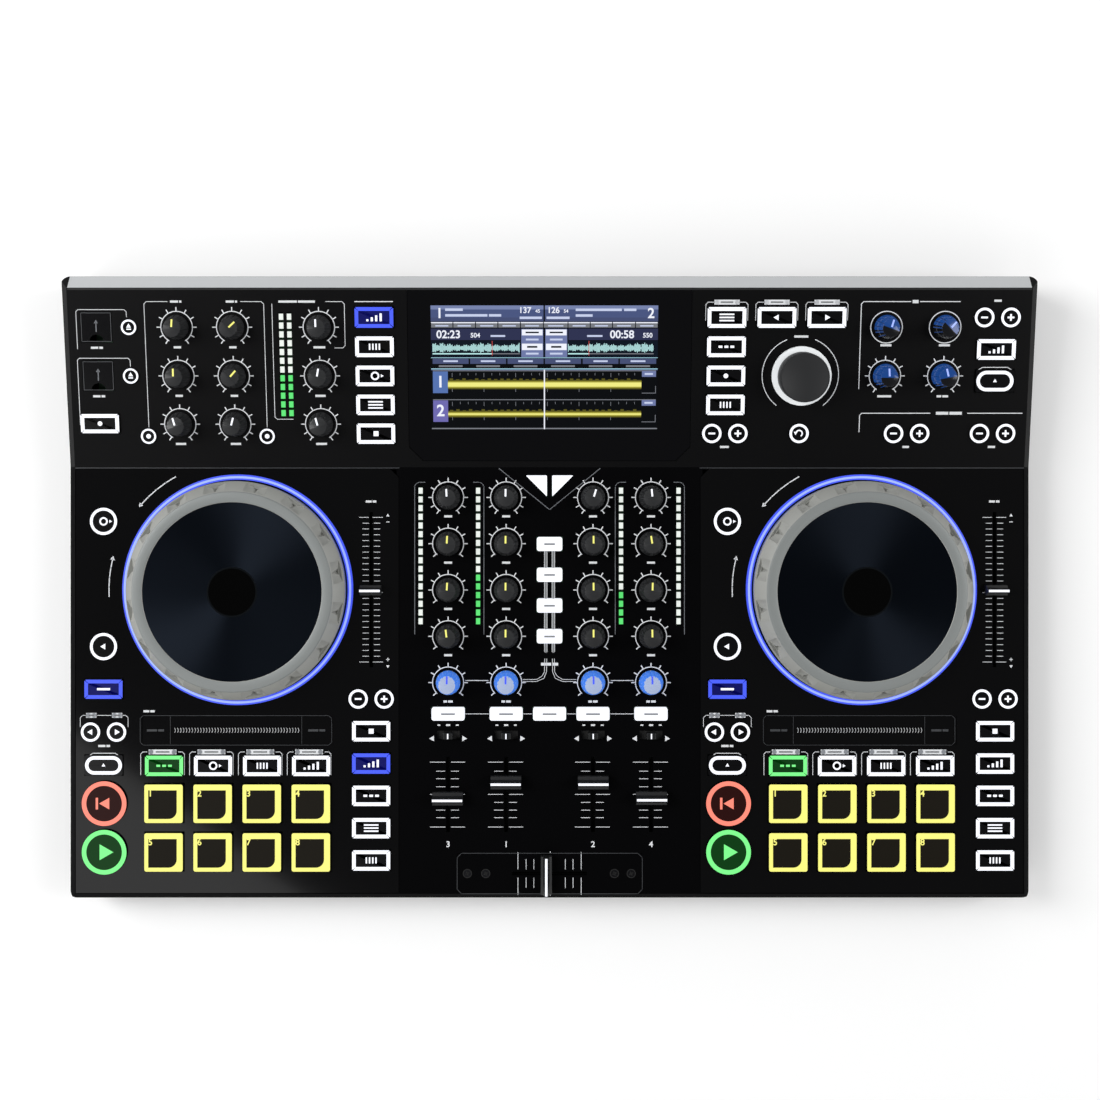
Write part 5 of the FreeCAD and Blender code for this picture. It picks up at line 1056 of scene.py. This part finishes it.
# %% Print of the decks
for side, (jx, jy) in JOGS.items():
    for start, end, tip, way in ((139, 119, 139, 229), (183, 166, 166, 76)):
        arc(jx, jy, 88.5, start, end, 0.7)
        t = math.radians(tip)
        wedge(jx + 88.5 * math.cos(t), jy + 88.5 * math.sin(t), 1.8, way)
    slot = jx + 91.3
    for i in range(26):
        y = jy + 49.6 - 99.2 * i / 25
        left, start, right = (7.9, 1.4, 8.0) if i in (0, 13, 25) else (5.7, 2.1, 6.0)
        mark(slot - left, y, slot - 1.7, y)
        mark(slot + start, y, slot + right, y)
    wedge(slot + 11.5, jy + 50.9, 1.3, 90)
    mark(slot + 10.6, jy + 46.5, slot + 12.4, jy + 46.5, 0.5)
    mark(slot + 10.6, jy - 47.9, slot + 12.4, jy - 47.9, 0.5)
    mark(slot + 11.5, jy - 48.8, slot + 11.5, jy - 47.0, 0.5)
    wedge(slot + 11.5, jy - 52.5, 1.3, -90)
    # Track keys: a bracket from key to key with two tabs over it
    path([(jx - 108.2, jy - 94), (jx - 108.2, jy - 87.8), (jx - 106.6, jy - 86.2), (jx - 104.5, jy - 86.2)])
    path([(jx - 96.5, jy - 86.2), (jx - 87, jy - 86.2)])
    path([(jx - 79, jy - 86.2), (jx - 77, jy - 86.2), (jx - 75.4, jy - 87.8), (jx - 75.4, jy - 94)])
    tab(jx - 100.6, jy - 86.2, 7)
    tab(jx - 82.9, jy - 86.2, 7)
    path([(jx - 103.5, jy - 117.5), (jx - 102.6, jy - 114.2), (jx - 99.5, jy - 112.2),
          (jx - 84.3, jy - 112.2), (jx - 81.2, jy - 114.2), (jx - 80.3, jy - 117.5)], 0.5)
    words(jx - 91.8, jy - 107.2, (5, 2.5))
    words(jx + 91.3, jy + 60.5, (4, 2.5))
    words(jx - 61, jy - 83.4, (4, 3))
    # Brackets over the pad mode keys
    for x in (-50.6, -17.1, 16.4, 49.9):
        x += jx - 1.1
        tab(x, jy - 111.3, 19)
        for end in (-1, 1):
            path([(x + end * 15, jy - 127), (x + end * 15, jy - 112.8), (x + end * 13.6, jy - 111.3),
                  (x + end * 10.8, jy - 111.3)], 0.4)
    # Touch strip: frame, two side zones and the ruler
    box_line(jx - 67.1, jy - 106.6, jx + 64.3, jy - 86.4, 0.3, 2)
    for x in (-46.5, 43.7):
        mark(jx + x, jy - 105.8, jx + x, jy - 87.2, 0.25, look=groove, z=-0.35)
    words(jx - 56.6, jy - 96.5, (7, 4), look=groove)
    words(jx + 54, jy - 96.5, (7, 4), look=groove)
    for i in range(44):
        arc(jx - 45.4 + 1.97 * i, jy - 96.5, 2.4, -38, 38, 0.32, look=label_ink, z=-0.35, steps=4)
# A fine grey groove runs along the rear edge of both plates
for sign in (-1, 1):
    mark(sign * 103.2, 83.0, sign * 325.2, 83.0, 0.5, look=groove)
print("deck prints:", len(prints))

# %% [markdown]
# The mixer's print ties its rows together: brackets along the level meters, two pipes between the effect
# keys that run on to the mix knobs, lines between the cue keys, and scales beside the faders.

# %% Print of the mixer
for x, inward in ((-88.5, 1), (-49.05, -1), (49.05, 1), (88.5, -1)):
    out = x - inward * 4.0
    path([(out, -31), (out, 70.4), (out + inward * 1.2, 72.4), (out + inward * 3.2, 73.2),
          (out + inward * 7.2, 73.2)], 0.45, look=ink_grey)
path([(-34.6, 82.6), (0, 54.4), (34.6, 82.6)], 0.5, look=ink_grey)
for x in (-2.6, 2.6):
    for shift, look, width in ((-0.9, ink, 0.3), (0, pipe, 1.5), (0.9, ink, 0.3)):
        for top, foot in ((25.8, 14.6), (4.7, -6.5), (-16.4, -27.6), (-37.5, -43)):
            mark(x + shift, top, x + shift, foot, width, look=look)
for sign in (-1, 1):
    for shift in (-0.7, 0.7):
        low = -62.8 + sign * shift
        path([(sign * 2.6 + shift, -48), (sign * 2.8 + shift, -57), (sign * 4.6 + shift, low + 2.2),
              (sign * 9, low), (sign * 18.2, low)])
    mark(sign * 57.4, -62.8, sign * 42.2, -62.8, 0.5)
words(0, -51.6, (7, 4), look=ink, height=2.0)
for x in CHANNELS.values():
    for row in range(5):
        words(x, TONE_ROW - TONE_STEP * row - 13.0, (5.5,) if row < 4 else (2.5, 3.2))
xs = sorted(list(CHANNELS.values()) + [0])
for a, b in zip(xs, xs[1:]):
    mark(a + 11.9, CUE_ROW, b - 11.9, CUE_ROW, 0.4)
for name, x in CHANNELS.items():
    for shift, half, height in ((-6.3, 0.5, 0.9), (0, 0.8, 1.2), (6.3, 0.5, 0.9)):
        mark(x + shift - half, -93.4, x + shift + half, -93.4, height)
    wedge(x - 10.8, -102.6, 2.2, 62)
    wedge(x + 10.8, -102.6, 2.2, 118)
    for i, y in enumerate((-118.8, -125.0, -130.2, -135.7, -140.9, -146.4, -151.7, -156.9, -163.3)):
        long = i in (0, 4, 8)
        mark(x - (12.2 if long else 8.0), y, x - 2.2, y, 0.4)
        mark(x + 2.2, y, x + (11.4 if long else 7.2), y, 0.4)
    digit = number("channel_number", name, 5.6, x, -175.3)
    digit.data.transform(LEVEL)
    prints.append(paint(digit, ink))
# Crossfader plate: scales beside the slot, four recessed screws, short centre marks and a frame round the
# plate
for sign in (-1, 1):
    for x, reach in ((21.7, 14.4), (16.1, 9.6), (10.8, 9.6)):
        for up in (-1, 1):
            mark(sign * x, CROSS_ROW + up * 3.0, sign * x, CROSS_ROW + up * reach, 0.4)
    for x in (-43.8, -56.4) if sign < 0 else (44.5, 56.0):
        dish = paint(coin("screw_dish", 3.1, z=PRINT + 0.02, sides=40), inner_black)
        head = paint(ring("screw_head", 2.6, 0.05, PRINT + 0.06, 40), dark_steel)
        # The cross in each head is a black card: painted shade for the recessed slot.
        cross = [paint(card("screw_cross", 2.8, 0.6, z=PRINT + 0.12, angle=turn), inner_black)
                 for turn in (25, 115)]
        for piece in (dish, head, *cross):
            piece.data.transform(spot(x, CROSS_ROW))
            prints.append(piece)
for up in (-1, 1):
    mark(0.5, CROSS_ROW + up * 13.9, 0.5, CROSS_ROW + up * 15.0, 0.4)
box_line(-63.4, -209.1, 63.6, -181.3, 0.4, 3)
print("mixer prints:", len(prints))

# %% [markdown]
# The rear part is grouped by fine brackets: round the stick sockets, along the microphone knobs down to
# their keys, over the browse keys and under the effect knobs. A broken ring surrounds the browser knob.

# %% Print of the rear part
TOP_LINE = 112.8


def bracket(points, width=0.4):
    path(points, width, True)


for y in (KNOB_ROW, KNOB_ROW - KNOB_STEP):
    words(-306.7, y - 13.9, (5, 2.5), True)
bracket([(-319.9, 81), (-319.9, 106), (-318.5, 107.4), (-287.3, 107.4), (-285.9, 106), (-285.9, 102.5)])
bracket([(-320.4, 29), (-320.4, 73.2), (-319, 74.6), (-286, 74.6), (-284.6, 73.2), (-284.6, 69)])
for x in (-252.2, -214.6):
    for i, y in enumerate((KNOB_ROW, KNOB_ROW - KNOB_STEP, KNOB_ROW - 2 * KNOB_STEP)):
        words(x, y - 13.6, (7,) if i == 2 else (5,), True)
    words(x, TOP_LINE, (5.5, 1.5), True)
bracket([(-273.7, 27.6), (-273.7, 111.2), (-272.1, TOP_LINE), (-258, TOP_LINE)])
bracket([(-192.9, 27.6), (-192.9, 111.2), (-194.5, TOP_LINE), (-208.5, TOP_LINE)])
for i, label in enumerate(((8,), (7,), (7.5,))):
    words(-156, KNOB_ROW - KNOB_STEP * i - 13.6, label, True)
bracket([(-187.4, 111.2), (-187.4, 34.5), (-185.8, 33), (-175, 33)])
words(-170.6, TOP_LINE, (12.5, 11.5), True, height=1.5)
bracket([(-151, TOP_LINE), (-140.1, TOP_LINE), (-138.5, 111.2), (-138.5, 83.2), (-140.1, 81.6),
         (-145.5, 81.6)])
mark(-131.4, TOP_LINE, -105.9, TOP_LINE, 0.6, True)
for i in range(3):
    x = 119.7 + 33.75 * i
    tab(x, ROW + 10.2, 17, 3.3, True)
    for end in (-1, 1):
        path([(x + end * 14.2, ROW - 2), (x + end * 14.2, ROW + 8.6), (x + end * 12.8, ROW + 10.2),
              (x + end * 9, ROW + 10.2)], 0.4, True)
for low, high in ((112, 232), (-52, 68)):
    arc(*NAVIGATE, 26, low, high, 0.55, True)
words(NAVIGATE[0], NAVIGATE[1] + 26.3, (9.5,), True, height=1.5)
bracket([(210.4, 54), (210.4, 111.2), (212, TOP_LINE), (243.6, TOP_LINE)], 0.55)
words(246.9, TOP_LINE, (4.0,), True, height=2.2)
bracket([(250.2, TOP_LINE), (277, TOP_LINE)], 0.55)
bracket([(211.5, 24.3), (211.5, 35.6), (213, 37.1), (259.5, 37.1)], 0.55)
words(272.4, 37.1, (8.5, 8.5), True, height=2.0)
bracket([(285.2, 37.1), (322.3, 37.1)], 0.55)
for x, lengths in ((119.7, (6,)), (243.8, (4.5,)), (302.5, (5,))):
    words(x, 13.9, lengths, True)
words(302.5, 113.4, (5,), True)
for i, x in enumerate((227.9, 267.5)):
    words(x, KNOB_ROW - 12.2, (7.5,), True)
    words(x, KNOB_ROW - KNOB_STEP - 13.9, (9.5,) if i == 0 else (3.2, 4), True)
path([(290, 61), (291.4, 66.8), (294, 68.4), (311, 68.4), (313.6, 66.8), (315, 61)], 0.5, True)
print("rear prints:", len(prints))

# %% [markdown]
# The screen is drawn from glowing cards on the window: header bars with the deck numbers and times,
# two waveforms, a row of tabs, and two long tracks with number boxes. Names are left out as plain bars.

# %% Screen picture
def shade(name, code):
    """A colour of the screen: its glow alone, on black glass."""
    return finish(name, "#050506", 0.3, glow=1.0, glow_code=code, specular=0.1)


UI = {name: shade("screen " + name, code) for name, code in (
    ("header", "#4a5680"), ("header pale", "#7783ac"), ("band", "#2e3250"), ("navy", "#0a1420"),
    ("wave", "#bff0ef"), ("tab", "#464f74"), ("white", "#f2f5ff"), ("line", "#9fd0e0"),
    ("number one", "#5673b0"), ("number two", "#6f6ab0"), ("yellow", "#f3ee84"),
    ("dark yellow", "#a39d3c"), ("olive", "#5c571c"),
    ("grey", "#7a7d84"), ("tag", "#6f7aa8"), ("black", "#05070a"), ("soft", "#c9d2ee"), ("red", "#d0504a"))}
screen = []
SCREEN_X, SCREEN_LOW, SCREEN_HIGH, SCREEN_WIDE = -3.5, 26.2, 110.2, 153.7


def place_on_screen(cx, cy):
    """From places on the drawing of the screen, 1482 by 810, to millimetres on the window."""
    return (SCREEN_X + (cx - 781) / 1482 * SCREEN_WIDE,
            SCREEN_HIGH - (cy - 60) / 810 * (SCREEN_HIGH - SCREEN_LOW))


def tile(look, x0, y0, x1, y1, layer=1):
    """A plain oblong of the picture, given by two corners."""
    (ax, ay), (bx, by) = place_on_screen(x0, y0), place_on_screen(x1, y1)
    lay(screen, oblong, UI[look], bx - ax, ay - by, (ax + bx) / 2, (ay + by) / 2, 0.05 + 0.03 * layer,
        slope=True)


def figures(text, x, y, size):
    piece = number("figures", text, size, *place_on_screen(x, y), 0.17)
    piece.data.transform(SLOPE)
    screen.append(paint(piece, UI["white"]))


tile("black", 40, 60, 1522, 870, 0)
for i, look in enumerate(("header pale", "header", "header", "tab")):
    for x0, x1 in ((40, 775), (785, 1522)):
        tile(look, x0, 60 + 26 * i, x1, 60 + 26 * (i + 1))
for x0, x1, y in ((135, 250, 87), (135, 410, 124), (985, 1285, 88), (985, 1095, 125), (620, 765, 140),
                  (795, 945, 140), (420, 500, 124), (1300, 1380, 88)):
    tile("soft", x0, y - 8, x1, y + 8, 2)
for text, x, y, size in (("1", 98, 113, 9.5), ("2", 1476, 113, 9.5), ("137", 655, 92, 5.6),
                         ("45", 738, 97, 3.2), ("126", 840, 92, 5.6), ("54", 922, 97, 3.2),
                         ("02:23", 155, 250, 7.4), ("504", 330, 255, 4.4), ("00:58", 1288, 250, 7.4),
                         ("550", 1455, 255, 4.4)):
    figures(text, x, y, size)
gaps = (40, 185, 332, 478, 625, 775, 935, 1080, 1225, 1375, 1522)
for a, b in zip(gaps, gaps[1:]):
    tile("white", a + 3, 168, b - 3, 176, 2)
    tile("grey", a + 3, 180, b - 3, 203, 2)
    tile("soft", a + 30, 188, b - 30, 196, 3)
tile("band", 40, 210, 625, 285)
tile("band", 938, 210, 1522, 285)
for x0, x1 in ((430, 525), (1060, 1160)):
    tile("soft", x0, 252, x1, 264, 2)
tile("navy", 40, 290, 1522, 398)
for low, high, count, seed, played, mark_at in ((50, 620, 95, 1.0, 440, 440),
                                                (935, 1495, 93, 2.3, 1075, 1072)):
    step = (high - low) / count
    for i in range(count):
        swing = abs(math.sin(i * 0.37 + seed)) * 0.45 + abs(math.sin(i * 1.93 + seed * 2)) * 0.4
        swing *= 0.55 + 0.45 * math.sin(i * 0.07 + seed) ** 2
        tall = 5 + 38 * swing
        tile("wave", low + i * step, 338 - tall, low + (i + 0.72) * step, 338 + tall * 0.8, 2)
    tile("grey", low, 371, high, 377, 2)
    tile("wave", low, 370, played, 378, 3)
    tile("red", mark_at - 2, 290, mark_at + 2, 385, 4)
for x0, x1 in ((630, 773), (787, 930)):
    tile("tag", x0, 212, x1, 396, 2)
    tile("white", x0 + 4, 216, x1 - 4, 254, 3)
    tile("white", x0 + 4, 308, x1 - 4, 350, 3)
    tile("navy", x0 + 28, 230, x1 - 28, 240, 4)
    tile("navy", x0 + 38, 323, x1 - 38, 335, 4)
    tile("soft", x0 + 30, 275, x1 - 30, 287, 3)
    tile("soft", x0 + 30, 367, x1 - 30, 379, 3)
tile("line", 40, 398, 1522, 402, 2)
for x0, x1 in ((295, 530), (540, 775), (785, 1020), (1032, 1265), (1275, 1512), (50, 285)):
    tile("tab", x0, 405, x1, 440, 2)
    tile("soft", x0 + 70, 417, x1 - 70, 428, 3)
    tile("grey", x0 + 40, 449, x1 - 40, 461, 2)
tile("line", 40, 470, 1522, 476, 2)
tile("tab", 40, 476, 1522, 483, 2)
for top, title, text, core in ((485, "one", "1", (562, 590)), (675, "two", "2", (765, 776))):
    tile("grey", 50, top - 2, 1512, top + 3, 2)
    tile("number " + title, 50, top + 5, 148, top + 147, 2)
    figures(text, 99, top + 76, 11)
    tile("olive", 148, core[0] - 16, 1417, core[1] + 16, 2)
    tile("dark yellow", 148, core[0] - 8, 1417, core[1] + 8, 2.5)
    tile("yellow", 148, core[0], 1417, core[1], 3)
    for i in range(24):
        x = 175 + 52.0 * i
        tile("grey", x, top + 15, x + 3, top + (30 if i % 4 else 42), 3)
        if i % 4 == 0:
            tile("grey", x, core[1] + 14, x + 3, core[1] + 34, 3)
    tile("tag", 1420, top + 2, 1512, top + 40, 2)
    tile("soft", 1438, top + 15, 1492, top + 27, 3)
    tile("grey", 1420, top + 145, 1512, top + 149, 2)
    tile("grey", 1508, top + 100, 1512, top + 149, 2)
    for i in range(30):
        x = 160 + 41.5 * i
        tall = 4 + 9 * abs(math.sin(i * 1.7 + top))
        tile("olive", x, core[0] - 14 - tall, x + 22, core[0] - 14, 2)
tile("white", 777, 478, 785, 870, 5)
tile("grey", 40, 862, 1522, 870, 2)
picture = join("screen_picture", screen)
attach(picture, "case")
print("screen tiles:", len(picture.data.polygons))

# %% [markdown]
# A few trims finish the case: the light grey strip along the rear edge with its dark line, and on each
# stick cover a fine grey frame, a painted highlight along its edges, with an arrow. They are laid on like the
# print.

# %% Trims
REAR_Y = 204.2
REAR_Z = DECK + (REAR_Y - FOLD) * math.tan(TILT)
strip_turn = math.atan2(-6.0, 8.55)
strip = card("rear_strip", 650, math.hypot(8.55, 6.0) - 0.5, 0, 0, 0)
strip.data.transform(Matrix.Translation((0, (REAR_Y + 4.35) * MM, (REAR_Z - 3.0 + 0.06) * MM))
                     @ Matrix.Rotation(strip_turn, 4, "X"))
paint(strip, trim_grey)
line = card("rear_line", 650, 1.1, 0, 0, 0)
line.data.transform(Matrix.Translation((0, (REAR_Y - 0.7) * MM, (REAR_Z - 0.1 + 0.08) * MM))
                    @ Matrix.Rotation(TILT, 4, "X"))
paint(line, inner_black)
trims = [strip, line]
for name, x, y in (("upper", -306.7, KNOB_ROW), ("lower", -306.7, KNOB_ROW - KNOB_STEP)):
    cover = []
    # The grey frame is a painted highlight along the cover's edges.
    for length, width, cx, cy in ((20.35, 0.35, 0, -9.6), (20.35, 0.35, 0, 9.6),
                                  (0.35, 19.55, -10, 0), (0.35, 19.55, 10, 0)):
        cover.append(paint(card("cover_edge_highlight", length, width, cx, cy, 0.03), cover_edge_painted_highlight))
    cover.append(paint(coin("cover_arrow", 1.6, 0, 3.4, 0.04, 3), ink_grey))
    cover.append(paint(card("cover_stem", 0.7, 7, 0, 0.2, 0.04), ink_grey))
    cover = join(f"cover_{name}_marks", cover)
    cover.data.transform(spot(x, y, 0, True))
    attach(cover, f"usb_cover_{name}_body")
trim_set = join("trims", trims)
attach(trim_set, "case")
marks = join("panel_print", prints)
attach(marks, "case")
discard(oblong, round_end, triangle, *symbols.values())
print("print faces:", len(marks.data.polygons))

# %% [markdown]
# The studio is plain. The world is pale at the horizon and dark overhead, because gloss black mirrors
# what hangs over it and would turn grey under a white sky. Large soft lamps light from both sides, so
# that their mirror images fall beside the camera. A weak one at the front left lays a haze on the plates.

# %% World and lamps
def lamp_at(name, place, size, power, aim=(0, 0.05, 0.03)):
    """A large soft lamp that looks at the controller."""
    bpy.ops.object.light_add(type="AREA", location=place)
    made = bpy.context.active_object
    made.name = name
    made.data.shape = "RECTANGLE"
    made.data.size, made.data.size_y = size
    made.data.energy = power
    way = Vector(aim) - Vector(place)
    made.rotation_euler = way.to_track_quat("-Z", "Y").to_euler()
    return made


lamp_at("key_softbox", (-1.65, 0.6, 1.5), (1.0, 1.5), 34)
lamp_at("right_softbox", (1.6, 0.2, 1.25), (0.8, 1.3), 15)
lamp_at("haze_softbox", (-0.75, -1.0, 1.5), (1.3, 1.0), 5)
world = bpy.data.worlds.new("pale_horizon")
bpy.context.scene.world = world
world.use_nodes = True
nodes, links = world.node_tree.nodes, world.node_tree.links
sky = nodes["Background"]
way = nodes.new("ShaderNodeTexCoord")
parts = nodes.new("ShaderNodeSeparateXYZ")
fade = nodes.new("ShaderNodeMapRange")
fade.inputs["From Min"].default_value = 0.15
fade.inputs["From Max"].default_value = 0.85
fade.inputs["To Min"].default_value = 1.0
fade.inputs["To Max"].default_value = 0.1
links.new(way.outputs["Generated"], parts.inputs["Vector"])
links.new(parts.outputs["Z"], fade.inputs["Value"])
links.new(fade.outputs["Result"], sky.inputs["Strength"])
sky.inputs["Color"].default_value = (1, 1, 1, 1)

# %% [markdown]
# The floor is white paper. It gets a trace of its own light for the camera and for mirror rays, and more
# of it far from the case, so that it stays white to the corners of every view and keeps the soft shadow.

# %% Floor
clear()
bpy.ops.mesh.primitive_plane_add(size=12, location=(0, 0, 0))
floor = settle("floor")
paper = finish("white paper floor", "#f6f6f6", 0.9, specular=0.1)
wires = paper.node_tree.links
light_path = add_node(paper, "ShaderNodeLightPath")
place = add_node(paper, "ShaderNodeTexCoord")
distance = add_node(paper, "ShaderNodeVectorMath", operation="LENGTH")
far = add_node(paper, "ShaderNodeMapRange")
far.inputs["From Min"].default_value = 0.6
far.inputs["From Max"].default_value = 1.5
far.inputs["To Min"].default_value = 0.12
far.inputs["To Max"].default_value = 1.0
camera_part = add_node(paper, "ShaderNodeMath", operation="MULTIPLY")
mirror_part = add_node(paper, "ShaderNodeMath", operation="MULTIPLY")
mirror_part.inputs[1].default_value = 0.12
trace = add_node(paper, "ShaderNodeMath", operation="MAXIMUM")
wires.new(place.outputs["Object"], distance.inputs[0])
wires.new(distance.outputs["Value"], far.inputs["Value"])
wires.new(light_path.outputs["Is Camera Ray"], camera_part.inputs[0])
wires.new(far.outputs["Result"], camera_part.inputs[1])
wires.new(light_path.outputs["Is Glossy Ray"], mirror_part.inputs[0])
wires.new(camera_part.outputs["Value"], trace.inputs[0])
wires.new(mirror_part.outputs["Value"], trace.inputs[1])
shader = paper.node_tree.nodes["Principled BSDF"]
shader.inputs["Emission Color"].default_value = (1, 1, 1, 1)
wires.new(trace.outputs["Value"], shader.inputs["Emission Strength"])
paint(floor, paper)

# %% [markdown]
# At the end the view is set to Standard, so that colours render about as they are written.

# %% View transform
bpy.context.scene.view_settings.view_transform = "Standard"
bpy.context.view_layer.update()
